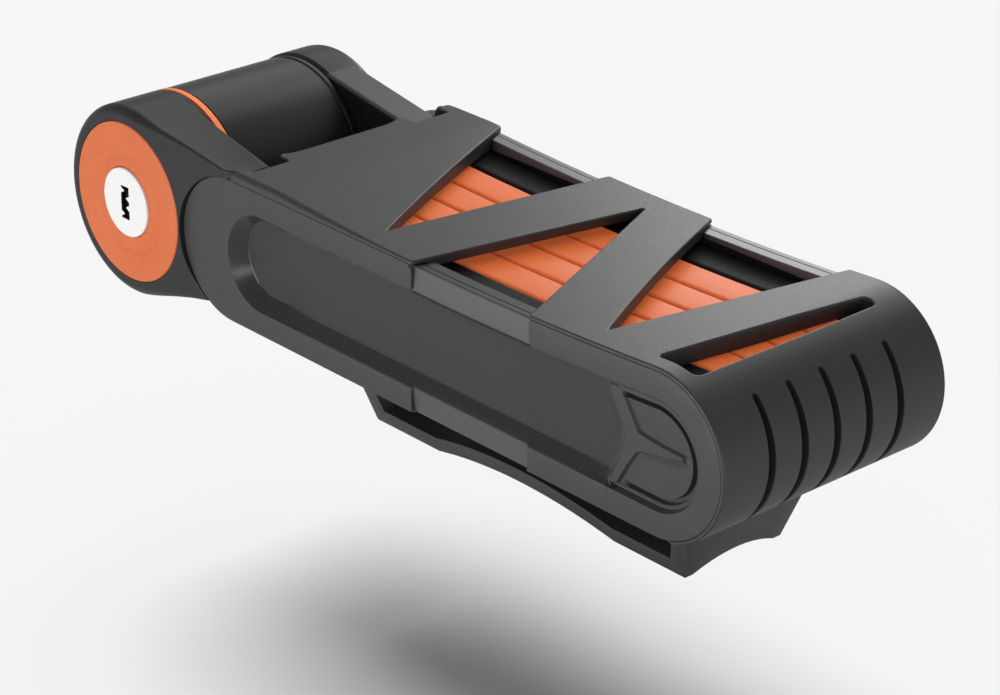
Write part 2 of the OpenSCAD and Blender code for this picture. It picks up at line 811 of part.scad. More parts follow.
// Steel stud on the last link, with a slotted socket for the cross bar
module locking_stud() {
    steel_y = rear_steel_back - steel_t;
    color("#a4a7aa") difference() {
        union() {
            rod(barrel_x, stud_r, stud_front, steel_y);
            rod(barrel_x, stud_neck_r, steel_y - eps, rear_steel_back + rivet_head_t);
            rod(barrel_x, stud_r, rear_steel_back, rear_steel_back + rivet_head_t);
        }
        rod(barrel_x, socket_r, stud_front + stud_wall, socket_back);
        translate([barrel_x - crossbar_w / 2 - fit_gap, stud_front - eps, mid_z - socket_r])
            cube([crossbar_w + 2 * fit_gap, stud_wall + 2 * eps, 2 * socket_r]);
    }
}

// Turning plug with a warded keyway
module key_plug() {
    y0 = head_y - bezel_stand - plug_stand;
    color("#dcdcdc") difference() {
        union() {
            rod(barrel_x, plug_face_r, y0, bezel_back + 1 - slip);
            rod(barrel_x, plug_r, y0, cylinder_back);
            rod(barrel_x, tail_hub_r, cylinder_back - eps, tail_hub_y);
        }
        slab(y0 - eps, cylinder_back - 3) translate([barrel_x, mid_z]) keyway_shape();
    }
}

// Keyway with two pointed wards on each side, the left ones further apart
module keyway_shape() {
    w = keyway_w / 2;
    h = keyway_h / 2;
    b = ward_h / 2;
    outer = h - 1.5 * b;
    inner = outer * 0.4;
    right = [for (z = [-inner, inner]) each [[w, z - b], [w - ward_w, z], [w, z + b]]];
    left = [for (z = [outer, -outer]) each [[-w, z + b], [ward_w - w, z], [-w, z - b]]];
    polygon(concat([[-w, -h], [w, -h]], right, [[w, h], [-w, h]], left));
}

// Clip on the plug's hub, behind the cylinder body
module plug_clip() {
    color("#c0c2c4") difference() {
        rod(barrel_x, clip_r, cylinder_back + slip, cylinder_back + slip + clip_t);
        rod(barrel_x, tail_hub_r + slip, cylinder_back, tail_hub_y + eps);
    }
}

// Tail of the plug, whose cross bar turns behind the stud's slotted wall
module plug_tail() {
    color("#a8aaac") {
        rod(barrel_x, tail_pin_r, tail_hub_y, crossbar_y + crossbar_t);
        intersection() {
            rod(barrel_x, crossbar_l / 2, crossbar_y, crossbar_y + crossbar_t);
            translate([barrel_x - crossbar_l, crossbar_y, mid_z - crossbar_w / 2])
                cube([2 * crossbar_l, crossbar_t, crossbar_w]);
        }
    }
}

case_shell();
front_side_plate();
rear_side_plate();
floor_pad();
end_bumper();
frame_saddle();
saddle_screws();
front_arm();
rear_arm();
front_steel_link();
for (i = [1 : links - 2]) inner_steel(i);
rear_steel_link();
for (i = [1 : links - 2]) link_cover(i);
end_rivets();
inner_rivets();
link_washers();
cylinder_body();
key_bezel();
barrel_ring();
barrel_sleeve();
locking_stud();
key_plug();
plug_clip();
plug_tail();
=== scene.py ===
import math

import bmesh
import bpy
import numpy as np
from mathutils import Matrix, Vector
from mathutils.geometry import delaunay_2d_cdt


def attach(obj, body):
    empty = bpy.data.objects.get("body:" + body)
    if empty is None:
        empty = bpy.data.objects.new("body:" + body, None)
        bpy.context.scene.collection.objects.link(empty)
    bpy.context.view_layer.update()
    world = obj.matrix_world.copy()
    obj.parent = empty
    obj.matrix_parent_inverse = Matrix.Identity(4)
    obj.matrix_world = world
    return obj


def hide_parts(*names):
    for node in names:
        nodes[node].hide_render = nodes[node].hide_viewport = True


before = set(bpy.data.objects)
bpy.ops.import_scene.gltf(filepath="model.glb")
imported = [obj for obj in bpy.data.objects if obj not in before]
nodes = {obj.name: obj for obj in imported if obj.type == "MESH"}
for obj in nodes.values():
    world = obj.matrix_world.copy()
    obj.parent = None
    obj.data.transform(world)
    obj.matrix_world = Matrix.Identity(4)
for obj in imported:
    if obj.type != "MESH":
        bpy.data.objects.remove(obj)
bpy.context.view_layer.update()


# CASE SHELL
# One moulded band of dark grey plastic with a fine eroded texture: floor, slotted
# round end, slanted roof straps and the cover over the mouth. It is screwed to the
# frame saddle, and both side plates are welded into its edges.
MM = 0.001
HALF_W = 29.0          # half the width of the case
HALF_IN = 25.6         # half the width inside the side plates
MID_Z = 31.35          # height of the links' middle line
CASE_R = 16.9          # radius of the round end
END_X = 51.0           # centre of the round end
CREST_X = -56.0        # highest point of the top edge near the mouth
MOUTH_X = -71.0        # edge of the mouth
TOP_DIP = 1.6          # dip of the top edge between crest and round end
ROOF_Z = 44.75         # underside of the roof straps
SHELL_T = 2.6          # thickness of floor and round end
LIP_T = 0.7            # lip over a side plate's edge
PLATE_R = 16.15        # radius of a side plate's round end
EAR = np.array([-70.4, 30.7])   # centre of a side plate's round ear
EAR_R = 15.5
BROW_X = -18.0         # the plate's top edge runs straight from here to the ear
BROW_Z = 46.03         # its height there
FLOOR_Y = 25.5         # half the width of the floor, which has no lip
NOTCH_X = -66.4        # closed end of the notches over the arms
TONGUE_Y = 16.5        # half the width of the cover between the notches


def unit(v):
    return v / np.maximum(np.linalg.norm(v, axis=-1, keepdims=True), 1e-12)


def arc(cx, cy, r, a0, a1, n):
    a = np.radians(np.linspace(a0, a1, n))
    return np.c_[cx + r * np.cos(a), cy + r * np.sin(a)]


def rounded(points, radius, n=6):
    """Closed polygon with round corners; radius is one number or one per corner."""
    pts = np.asarray(points, float)
    radii = np.broadcast_to(radius, len(pts))
    out = []
    for i, p in enumerate(pts):
        a, b = pts[i - 1] - p, pts[(i + 1) % len(pts)] - p
        la, lb = np.linalg.norm(a), np.linalg.norm(b)
        a, b = a / la, b / lb
        half = math.acos(max(-1.0, min(1.0, float(a @ b)))) / 2
        reach = min(radii[i] / math.tan(half), 0.49 * la, 0.49 * lb) if half < 1.56 else 0.0
        r = reach * math.tan(half)
        if r < 1e-3:
            out.append(p)
            continue
        c = p + (a + b) / np.linalg.norm(a + b) * r / math.sin(half)
        v0, v1 = (p + a * reach - c) / r, (p + b * reach - c) / r
        turn = math.pi - 2 * half
        for k in range(n + 1):
            t = k / n
            w = (math.sin((1 - t) * turn) * v0 + math.sin(t * turn) * v1) / math.sin(turn)
            out.append(c + r * w)
    return np.array(out)


def wound(loop, ccw):
    x, y = np.asarray(loop).T
    area = np.sum(x * np.roll(y, -1) - np.roll(x, -1) * y)
    return np.asarray(loop) if (area > 0) == ccw else np.asarray(loop)[::-1]


def spaced(loop, step):
    """Closed loop with further points, so that no edge is longer than step."""
    out = []
    for p, q in zip(loop, np.roll(loop, -1, 0)):
        n = max(1, int(math.ceil(np.linalg.norm(q - p) / step)))
        out += [p + (q - p) * k / n for k in range(n)]
    return np.array(out)


def left_normals(loop):
    """Directions into the material, lengthened at corners so that offsets stay parallel."""
    e = unit(np.roll(loop, -1, 0) - loop)
    n = np.c_[-e[:, 1], e[:, 0]]
    m = unit(n + np.roll(n, 1, 0))
    sharpest = 0.45
    return m / np.maximum((m * n).sum(1), sharpest)[:, None]


def inside(points, loops):
    odd = np.zeros(len(points), bool)
    x, y = points[:, 0][:, None], points[:, 1][:, None]
    for loop in loops:
        a, b = loop, np.roll(loop, -1, 0)
        cross = (a[:, 1] > y) != (b[:, 1] > y)
        with np.errstate(divide="ignore", invalid="ignore"):
            at = a[:, 0] + (y - a[:, 1]) * (b[:, 0] - a[:, 0]) / (b[:, 1] - a[:, 1])
        odd ^= (np.sum(cross & (x < at), axis=1) % 2).astype(bool)
    return odd


def fill(loops, spots, lines):
    """Triangles between the loops, through further points and closed lines."""
    spots = np.asarray(spots, float).reshape(-1, 2)
    edge = np.concatenate([*loops, *lines])
    spots = spots[inside(spots, loops)]
    too_near = 0.12          # square of the least distance from an edge
    apart = [np.min(np.sum((edge - p) ** 2, axis=1)) > too_near for p in spots]
    verts = np.concatenate([edge, spots[np.array(apart, bool)]])
    edges, start = [], 0
    for loop in [*loops, *lines]:
        n = len(loop)
        edges += [(start + i, start + (i + 1) % n) for i in range(n)]
        start += n
    v, _, f, source, _, _ = delaunay_2d_cdt([Vector(p) for p in verts], edges, [], 0, 1e-5)
    v, f = np.array([tuple(p) for p in v]), np.array([list(t) for t in f])
    f = f[inside(v[f].mean(1), loops)]
    a, b, c = v[f[:, 0]], v[f[:, 1]], v[f[:, 2]]
    turn = (b - a)[:, 0] * (c - a)[:, 1] - (b - a)[:, 1] * (c - a)[:, 0]
    f[turn < 0] = f[turn < 0][:, ::-1]
    back = {}
    for new, olds in enumerate(source):
        for old in olds:
            back.setdefault(old, new)
    return v, f, back


def sheet(loops, radii, top, under, spots=(), lines=(), low=0.0, low_spots=(), steps=4):
    """Closed sheet with rounded edges. The loops run with the material on their left;
    top and under give points, normals and both tangents for flat coordinates."""
    verts, faces, normals = [], [], []

    def add_ring(points):
        first = sum(len(p) for p in verts)
        verts.append(points)
        return np.arange(first, first + len(points))

    top_loops, under_loops, top_ids, under_ids = [], [], [], []
    lows = low if isinstance(low, list) else [low] * len(loops)
    for loop, radius, low_radius in zip(loops, radii, lows):
        n = len(loop)
        r = np.broadcast_to(np.asarray(radius, float), n)[:, None]
        r_low = np.broadcast_to(np.asarray(low_radius, float), n)[:, None]
        side = left_normals(loop)
        flat = unit(side)
        low_steps = steps if r_low.max() > 0 else 0
        turns = [(under, r_low, math.pi / 2 * k / max(low_steps, 1)) for k in range(low_steps, -1, -1)]
        turns += [(top, r, math.pi / 2 * k / steps) for k in range(steps + 1)]
        rings, plans = [], []
        for place, reach, a in turns:
            plans.append(loop + side * reach * (1 - math.cos(a)))
            p, m, tu, tv = place(plans[-1])
            wall = -(flat[:, :1] * tu + flat[:, 1:] * tv)
            ids = add_ring(p - m * reach * (1 - math.sin(a)))
            rings.append((ids, unit(math.cos(a) * wall + math.sin(a) * m)))
        under_loops.append(plans[0])
        under_ids.append(rings[0][0])
        top_loops.append(plans[-1])
        top_ids.append(rings[-1][0])
        for (lo, n_lo), (hi, n_hi) in zip(rings[:-1], rings[1:]):
            j = np.roll(np.arange(n), -1)
            faces += np.c_[lo, lo[j], hi[j], hi].tolist()
            normals += np.stack([n_lo, n_lo[j], n_hi[j], n_hi], 1).reshape(-1, 3).tolist()
    for (flat_loops, ids, place, more, rows, down) in (
        (top_loops, top_ids, top, spots, lines, False),
        (under_loops, under_ids, under, low_spots, (), True),
    ):
        v, f, back = fill(flat_loops, more, list(rows))
        p, m, _, _ = place(v)
        known = np.full(len(v), -1)
        for old, ident in enumerate(np.concatenate(ids)):
            known[back[old]] = ident
        new = np.where(known < 0)[0]
        known[new] = add_ring(p[new])
        f = f[:, ::-1] if down else f
        faces += known[f].tolist()
        normals += m[f].reshape(-1, 3).tolist()
    return np.concatenate(verts), faces, np.array(normals)


def lathe(profile, axis_x, axis_z, segments=192, flip=False):
    """Round body about a line along y from (radius, y) points; a radius of 0 closes it."""
    a = np.linspace(0, 2 * math.pi, segments, endpoint=False)
    verts, faces, rings = [], [], []
    for r, y in profile:
        first = len(verts)
        if r < 1e-6:
            verts.append((axis_x, y, axis_z))
            rings.append([first] * segments)
        else:
            verts += [(axis_x + r * math.cos(t), y, axis_z + r * math.sin(t)) for t in a]
            rings.append(list(range(first, first + segments)))
    for lo, hi in zip(rings[:-1], rings[1:]):
        for i in range(segments):
            j = (i + 1) % segments
            loop = [lo[i], lo[j], hi[j], hi[i]]
            face = [v for k, v in enumerate(loop) if v not in loop[:k]]
            faces.append(face[::-1] if flip else face)
    return np.array(verts), faces, np.zeros((sum(len(f) for f in faces), 3))


def bend(r0, y0, r1, y1, n):
    """Quarter round between two profile points; it leaves the first along y."""
    angles = [math.pi / 2 * k / n for k in range(n + 1)]
    return [(r0 + (r1 - r0) * (1 - math.cos(a)), y0 + (y1 - y0) * math.sin(a)) for a in angles]


def mirrored(part):
    v, f, n = part
    flip = np.array([1, -1, 1])
    corner = np.split(n * flip, np.cumsum([len(p) for p in f])[:-1])
    return v * flip, [p[::-1] for p in f], np.concatenate([c[::-1] for c in corner])


def curved(height, sign, e=0.1):
    """Face at a depth y that depends on x and z; sign -1 faces the front and +1 the rear."""
    def place(uv):
        x, z = uv.T
        one, zero = np.ones(len(uv)), np.zeros(len(uv))
        hx = (height(x + e, z) - height(x - e, z)) / (2 * e)
        hz = (height(x, z + e) - height(x, z - e)) / (2 * e)
        n = unit(np.c_[-hx, one, -hz]) * sign
        return np.c_[x, height(x, z), z], n, unit(np.c_[one, hx, zero]), unit(np.c_[zero, hz, one])
    return place


def level(y, sign):
    return curved(lambda x, z: np.full(len(x), y), sign)


def smoothed(values):
    """Values round a loop, each mixed with its neighbours."""
    return 0.5 * values + 0.25 * np.roll(values, 1) + 0.25 * np.roll(values, -1)


def piece(name, parts, materials, sharp=33.0, slots=None):
    """One object from sheets and lathes given in millimetres."""
    verts = np.concatenate([p[0] for p in parts]) * MM
    faces, start, index = [], 0, []
    for i, (v, f, _) in enumerate(parts):
        faces += [[start + k for k in p] for p in f]
        index += [slots[i] if slots else 0] * len(f)
        start += len(v)
    mesh = bpy.data.meshes.new(name)
    mesh.from_pydata(verts.tolist(), [], faces)
    mesh.polygons.foreach_set("use_smooth", np.ones(len(faces), bool))
    mesh.polygons.foreach_set("material_index", np.array(index, np.int32))
    mesh.set_sharp_from_angle(angle=math.radians(sharp))
    corner = np.concatenate([p[2] for p in parts])
    if np.abs(corner).max() > 0:
        mesh.normals_split_custom_set(corner.tolist())
    for m in materials:
        mesh.materials.append(m)
    obj = bpy.data.objects.new(name, mesh)
    bpy.context.scene.collection.objects.link(obj)
    return obj


def linear(code):
    c = [int(code[i:i + 2], 16) / 255 for i in (1, 3, 5)]
    return tuple(v / 12.92 if v <= 0.04045 else ((v + 0.055) / 1.055) ** 2.4 for v in c) + (1.0,)


def add(tree, kind, links=(), **values):
    """Adds a node; values go to its inputs or properties, links are (input, output)."""
    node = tree.nodes.new(kind)
    for key, value in values.items():
        if hasattr(node, key):
            setattr(node, key, value)
        else:
            node.inputs[key.replace("_", " ")].default_value = value
    for key, output in links:
        tree.links.new(output, node.inputs[key])
    return node


def moulding(name, dark, light, rough, grain=0.0003, bump=0.05, wave=0.1, uneven=0.06, **shader):
    """Moulded or machined surface: fine grain, slow colour drift and uneven gloss."""
    mat = bpy.data.materials.new(name)
    mat.use_nodes = True
    tree = mat.node_tree
    tree.nodes.clear()
    place = add(tree, "ShaderNodeTexCoord").outputs["Object"]
    fine = add(tree, "ShaderNodeTexNoise", [("Vector", place)], Scale=1 / grain, Detail=2.0)
    drift_size = 0.018
    slow = add(tree, "ShaderNodeTexNoise", [("Vector", place)], Scale=1 / drift_size, Detail=3.0)
    ramp = add(tree, "ShaderNodeMapRange", [("Value", fine.outputs["Fac"])], From_Min=0.3, From_Max=0.7)
    drift = add(tree, "ShaderNodeMapRange", [("Value", slow.outputs["Fac"])],
                From_Min=0.3, From_Max=0.7, To_Min=-wave, To_Max=wave)
    mix = add(tree, "ShaderNodeMath", [(0, ramp.outputs[0]), (1, drift.outputs[0])], operation="ADD")
    tint = add(tree, "ShaderNodeMix", [("Factor", mix.outputs[0])], data_type="RGBA")
    # the colour sockets share their names with the float ones, so they are set by place
    for sock, code in ((tint.inputs[6], dark), (tint.inputs[7], light)):
        sock.default_value = linear(code)
    gloss = add(tree, "ShaderNodeMapRange", [("Value", fine.outputs["Fac"])],
                From_Min=0.25, From_Max=0.75, To_Min=rough - uneven, To_Max=rough + uneven)
    relief = add(tree, "ShaderNodeBump", [("Height", fine.outputs["Fac"])], Strength=bump, Distance=grain)
    body = add(tree, "ShaderNodeBsdfPrincipled", [("Base Color", tint.outputs[2]),
               ("Roughness", gloss.outputs[0]), ("Normal", relief.outputs[0])], **shader)
    add(tree, "ShaderNodeOutputMaterial", [("Surface", body.outputs[0])])
    return mat


case_plastic = moulding("case_plastic", "#363638", "#3f3f41", 0.46, bump=0.14)


def dipped(x, x0, x1, height, dip):
    """Height over x of an edge that sinks between x0 and x1 in a shallow arc."""
    chord = x1 - x0
    r = (chord ** 2 / 4 + dip ** 2) / (2 * dip)
    t = np.clip(x, x0, x1) - (x0 + chord / 2)
    return height - dip + r - np.sqrt(r ** 2 - t ** 2)


def top_line(x):
    """Height of the shell's top edge over x."""
    return dipped(x, CREST_X, END_X, MID_Z + CASE_R, TOP_DIP)


def plate_top(x):
    """Height of a side plate's top edge over x."""
    waist = top_line(x) - (CASE_R - PLATE_R)
    return np.where(x < BROW_X, np.interp(x, [EAR[0], BROW_X], [EAR[1] + EAR_R, BROW_Z]), waist)


top_x = np.r_[np.arange(MOUTH_X, CREST_X, 1.5), np.arange(CREST_X, END_X, 1.0)]
outline = np.concatenate([
    np.c_[top_x, top_line(top_x)],
    arc(END_X, MID_Z, CASE_R, 90, -90, 121),
    np.c_[np.linspace(END_X, MOUTH_X, 60)[1:], np.full(59, MID_Z - CASE_R)],
])
run = np.r_[0, np.cumsum(np.linalg.norm(np.diff(outline, axis=0), axis=1))]
heading = unit(np.gradient(outline, run, axis=0))
RUN_END = run[-1]
run_top = run[len(top_x)]                      # where the round end begins
run_low = run[len(top_x) + 120]                # where the floor begins


def run_of(x):
    """Way along the band for a place x on its top side."""
    x = np.asarray(x, float)
    over = np.arcsin(np.clip((x - END_X) / CASE_R, 0, 1)) * CASE_R
    return np.where(x <= END_X, np.interp(x, top_x, run[:len(top_x)], right=run_top), run_top + over)


def band(uv):
    u, y = uv[:, 0], uv[:, 1]
    p = np.c_[np.interp(u, run, outline[:, 0]), y, np.interp(u, run, outline[:, 1])]
    t = unit(np.c_[np.interp(u, run, heading[:, 0]), np.interp(u, run, heading[:, 1])])
    zero, across = np.zeros(len(u)), np.tile([0.0, 1.0, 0.0], (len(u), 1))
    return p, np.c_[-t[:, 1], zero, t[:, 0]], np.c_[t[:, 0], zero, t[:, 1]], across


def band_inside(uv):
    p, n, tu, tv = band(uv)
    roof = np.where(n[:, 2] > 0.3, (p[:, 2] - ROOF_Z) / np.maximum(n[:, 2], 0.3), 0)
    lip = np.where(uv[:, 0] < run_top, p[:, 2] - plate_top(p[:, 0]) - 0.05, LIP_T)
    thick = np.where(np.abs(uv[:, 1]) > HALF_IN, lip, np.maximum(SHELL_T, roof))
    thick = np.where((n[:, 2] > 0.9) & (np.abs(uv[:, 1]) <= HALF_IN), roof, thick)
    return p - n * thick[:, None], -n, tu, tv


def at(x, y):
    return [float(run_of(x)), y]


def swept(a, b, swell, n=8):
    """Points from a towards b on a shallow curve; b itself is left out."""
    a, b = np.array(a), np.array(b)
    side = np.array([-(b - a)[1], (b - a)[0]]) / np.linalg.norm(b - a)
    t = np.arange(n) / n
    return [list(a + (b - a) * k + side * swell * 4 * k * (1 - k)) for k in t]


FRONT_WINDOW = (-14.6, 18.0)      # ends of each roof window on the edge where it is wide
REAR_WINDOW_1 = (-53.4, -21.4)
REAR_WINDOW_2 = (7.5, 43.1)
TIP_Y = 23.0                      # a window's tip from the middle, at the other edge
left_strap = swept(at(-28.6, -TIP_Y), at(REAR_WINDOW_1[0], HALF_W), 0.7)
right_strap = swept(at(32.5, -TIP_Y), at(REAR_WINDOW_2[0], HALF_W), 0.9)
corners = [
    (at(MOUTH_X, -HALF_W), 0.4), (at(FRONT_WINDOW[0], -HALF_W), 0.8), (at(-5.0, TIP_Y), 0.25),
    (at(FRONT_WINDOW[1], -HALF_W), 0.8),
    ([run_low - 5, -HALF_W], 3.0), ([run_low + 2, -FLOOR_Y], 3.0), ([RUN_END, -FLOOR_Y], 1.0),
    ([RUN_END, FLOOR_Y], 1.0), ([run_low + 2, FLOOR_Y], 3.0), ([run_low - 5, HALF_W], 3.0),
    (at(REAR_WINDOW_2[1], HALF_W), 0.8), *[(p, 0.0) for p in right_strap],
    (at(REAR_WINDOW_2[0], HALF_W), 0.8), (at(REAR_WINDOW_1[1], HALF_W), 0.8),
    *[(p, 0.0) for p in left_strap], (at(REAR_WINDOW_1[0], HALF_W), 0.8),
    (at(MOUTH_X, HALF_W), 1.6), (at(MOUTH_X, HALF_IN), 0.8), (at(NOTCH_X, HALF_IN), 0.5),
    (at(NOTCH_X, TONGUE_Y), 0.8), (at(MOUTH_X, TONGUE_Y), 3.0), (at(MOUTH_X, -TONGUE_Y), 4.4),
    (at(NOTCH_X, -TONGUE_Y), 0.8), (at(NOTCH_X, -26.3), 1.5),
]
border = spaced(rounded([c for c, _ in corners], [r for _, r in corners]), 1.2)
lens = [at(47.1, -25.2), at(56.5, -25.2), at(56.6, 0), at(56.4, 21.4), at(53.9, 21.4)]
lens = spaced(wound(rounded(lens, [1.0, 1.6, 3, 1.0, 1.2]), False), 1.0)
SLOT_SPAN = (43, 152)             # degrees from the top of the round end


def end_slot(y):
    """Slot round the closed end, blunt at its upper end and drawn out at the lower."""
    start, end = (run_top + CASE_R * math.radians(a) for a in SLOT_SPAN)
    u = start + (end - start) * (1 - np.cos(np.linspace(0, math.pi, 61))) / 2
    width = np.interp((u - start) / (end - start), [0, 0.35, 0.7, 1], [0.6, 0.88, 0.88, 0.3])
    caps = np.minimum(np.clip((u - start) / 0.6, 0, 1), np.clip((end - u) / 0.8, 0, 1))
    width = np.maximum(width * np.sqrt(1 - (1 - caps) ** 2), 0.03)
    return wound(np.concatenate([np.c_[u, y - width], np.c_[u, y + width][::-1]]), False)


LAYER = 8.4                       # pitch of the links across the case
BOLT_X, BOLT_HEAD_R = 32.0, 5.2
slots = [end_slot(LAYER * i) for i in (-2, -1, 0, 1, 2)]
bolt_run = [run_low + END_X - x for x in (-BOLT_X, BOLT_X)]
bolt_holes = [wound(arc(u, 0, BOLT_HEAD_R, 0, 352.5, 48), False) for u in bolt_run]
edge_r = np.full(len(border), 0.4)
brow = (border[:, 1] < -HALF_W + 0.05) & (border[:, 0] < run_of(FRONT_WINDOW[0]))
brow_x = np.interp(border[:, 0], run[:len(top_x)], top_x)
edge_r[brow] = np.clip(top_line(brow_x) - plate_top(brow_x) - 0.25, 0.4, 1.3)[brow]
edge_r[(border[:, 0] < 0.05) & (np.abs(border[:, 1]) < TONGUE_Y - 1)] = 2.4
edge_r[(border[:, 0] < 1.0) & (border[:, 1] > HALF_IN)] = 1.8
for _ in range(6):
    edge_r = smoothed(edge_r)
lines_u = np.r_[np.arange(3, run_top, 5.0), np.arange(run_top, run_low, 1.18),
                np.arange(run_low, RUN_END, 9.0)]
lines_v = np.r_[-25.7, -25.5, np.arange(-23.1, 24, 4.2), 25.5, 25.7]
spots = np.array([(u, v) for u in lines_u for v in lines_v])
shell = sheet([border, lens, *slots, *bolt_holes], [edge_r, 0.45, *[0.25] * 5, 0.2, 0.2],
              band, band_inside, spots, low_spots=spots)
case_shell = piece("case_shell_band", [shell], [case_plastic])
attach(case_shell, "case")
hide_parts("case_shell")


# SIDE PLATES
# Two inlaid plates of the same plastic, each with a long sloped recess, a grip with a
# three-armed ridge at the round end, and rails that carry the rim in under the windows.
# Painted shade darkens the recess and the front rails; painted light brightens the
# strips beside the windows and the rear rails.
RIM_W = 5.15            # rim round the recess
RECESS_LOW, RECESS_TOP = 20.35, 41.0    # heights of the recess's edges
RECESS_X = -60.8        # centre of the recess's round rear end
RAIL_IN = 24.2          # inner edge of a rail
RAIL_MID = 26.6         # its bright outer part ends here
RAIL_DROP = 1.0         # a rail's top below the strap tops
KNEE_D = 1.2            # knee in the recess's lower wall
GROOVE_X = 42.9         # blunt ends of the groove
GROOVE_IN, GROOVE_OUT = 2.4, 1.2   # both sides of the groove, from the recess's edge


def plate_loop(grow, ear_x=EAR[0], step=1.5):
    """Plate outline, counterclockwise seen from the front."""
    r = EAR_R + grow
    x = np.linspace(END_X, BROW_X - grow, 60)
    brow = np.c_[x, top_line(x) + grow - (CASE_R - PLATE_R)]
    gap = brow[-1] - [ear_x, EAR[1]]
    angle = math.degrees(math.atan2(gap[1], gap[0]) + math.acos(r / np.linalg.norm(gap)))
    loop = np.concatenate([
        np.c_[np.linspace(ear_x, END_X, 60), np.full(60, MID_Z - PLATE_R - grow)],
        arc(END_X, MID_Z, PLATE_R + grow, -90, 90, 61)[1:],
        brow[1:],
        arc(ear_x, EAR[1], r, angle, 270, 61)[:-1],
    ])
    return spaced(loop, step)


def recess_loop(inset):
    return plate_loop(-RIM_W - inset, RECESS_X, 0.8)


def to_segments(points, line, closed=False):
    """Distance of points from a chain of straight pieces."""
    a, b = (line, np.roll(line, -1, 0)) if closed else (line[:-1], line[1:])
    best = np.full(len(points), 1e9)
    for p, q in zip(a, b):
        d = q - p
        t = np.clip(((points - p) @ d) / (d @ d), 0, 1)[:, None]
        best = np.minimum(best, np.linalg.norm(points - p - t * d, axis=1))
    return best


def ease(t):
    t = np.clip(t, 0, 1)
    return t * t * (3 - 2 * t)


recess_edge = recess_loop(0.0)
ridge = rounded(
    [(39.55, 40.9), (39.6, 40.0), (41.7, 36.4), (43.8, 32.2), (42.0, 26.9), (39.1, 21.3), (41.3, 22.2),
     (43.8, 26.6), (46.1, 29.9), (48.0, 30.8), (53.7, 31.7), (58.8, 33.0), (52.4, 33.2), (46.5, 33.8),
     (41.9, 41.15)],
    [0.4, 1, 3, 4, 3, 0.5, 0.5, 1.5, 1.2, 1.5, 1, 0.2, 2, 0.6, 0.4], 5)


def lean(uv, foot, top):
    """Depth of a face that leans back from the top of the recess to its foot."""
    return np.interp(uv[:, 1], [RECESS_LOW, RECESS_TOP], [foot, top])


def wall_width(uv):
    """Run of the recess wall in plan, from its edge to the floor."""
    x, z = uv.T
    side = 1.6 + 1.1 * ease((36 - z) / 10)
    return side + (3.4 - side) * ease((RECESS_X - x) / (EAR_R - RIM_W))


def wall_depth(uv, d):
    """Depth of the plain recess: wall with a knee along the foot, floor leaning outwards."""
    t = d / wall_width(uv)
    floor = lean(uv, 2.5, 0.9)
    floor = np.minimum(floor + 1.1 * ease((RECESS_X + 14 - uv[:, 0]) / 14), 3.0)
    knee = ease((29 - uv[:, 1]) / 5) * ease((uv[:, 0] - 30) / 8)
    total = 0
    for shift in (-0.03, -0.015, 0, 0.015, 0.03):
        k = np.clip(t + shift, 0, 1)
        stepped = np.where(k < 0.3, KNEE_D * k / 0.3, KNEE_D + (floor - KNEE_D) * (k - 0.3) / 0.7)
        total = total + floor * k + (stepped - floor * k) * knee
    return total / 5


def grip_depth(uv, d):
    """Depth of the grip: wall, shelf, groove and pads."""
    shelf, pad = lean(uv, 1.3, 0.25), lean(uv, 1.15, 0.5)
    h = np.where(d < GROOVE_OUT, shelf * np.clip(d / 0.5, 0, 1), pad)
    edge = np.minimum(np.minimum(d - GROOVE_OUT, GROOVE_IN - d), uv[:, 0] - GROOVE_X)
    return h + 1.1 * np.clip(edge / 0.25, 0, 1)


def plate_depth(uv, strips):
    """Depth of the plate's outer face behind the face of its rim."""
    d = to_segments(uv, recess_edge, True) * np.where(inside(uv, [recess_edge]), 1, -1)
    left = np.interp(uv[:, 1], [17, 21.3, 26.9, 32.2, 36.4, 40.9, 46],
                     [37.6, 39.1, 42.0, 43.8, 41.7, 39.55, 38.6])
    right = uv[:, 0] > left
    h = np.where(right, grip_depth(uv, d), wall_depth(uv, d))
    off = to_segments(uv, ridge, True)
    soft = np.where(uv[:, 1] < 32.4, 0.4 + 1.2 * ease((uv[:, 0] - 47) / 2), 0.4)
    cove = np.sqrt(1 - (1 - np.clip(off / 3.7, 0, 1)) ** 2)
    share = np.where(inside(uv, [ridge]), 0, np.where(right, np.clip(off / soft, 0, 1), cove))
    crest = lean(uv, 0.35, 0.0)
    h = np.where(h > crest, crest + (h - crest) * share, h)
    for x0, x1 in strips:
        near = (uv[:, 0] > x0) & (uv[:, 0] < x1)
        h = np.where(near & (d < 0.3), np.maximum(h, 0.45 + 0.5 * np.clip(-d / RIM_W, 0, 1)), h)
    return h


def grip_line(a, b, start):
    """Closed line round the groove between two distances from the recess's edge."""
    outer, inner_side = recess_loop(a), recess_loop(b)
    return np.concatenate([outer[outer[:, 0] > start], inner_side[inner_side[:, 0] > start][::-1]])


def rail_face(height, sign):
    """Face of a rail at a height that depends on x; sign +1 faces up."""
    def place(uv):
        x, y = uv.T
        one, zero = np.ones(len(uv)), np.zeros(len(uv))
        slope = (height(x + 0.1) - height(x - 0.1)) / 0.2
        n = unit(np.c_[-slope, zero, one]) * sign
        return np.c_[x, y, height(x)], n, unit(np.c_[one, zero, slope]), np.c_[zero, one, zero]
    return place


rail_top = rail_face(lambda x: top_line(x) - RAIL_DROP, 1)
rail_under = rail_face(lambda x: np.full(len(x), ROOF_Z), -1)


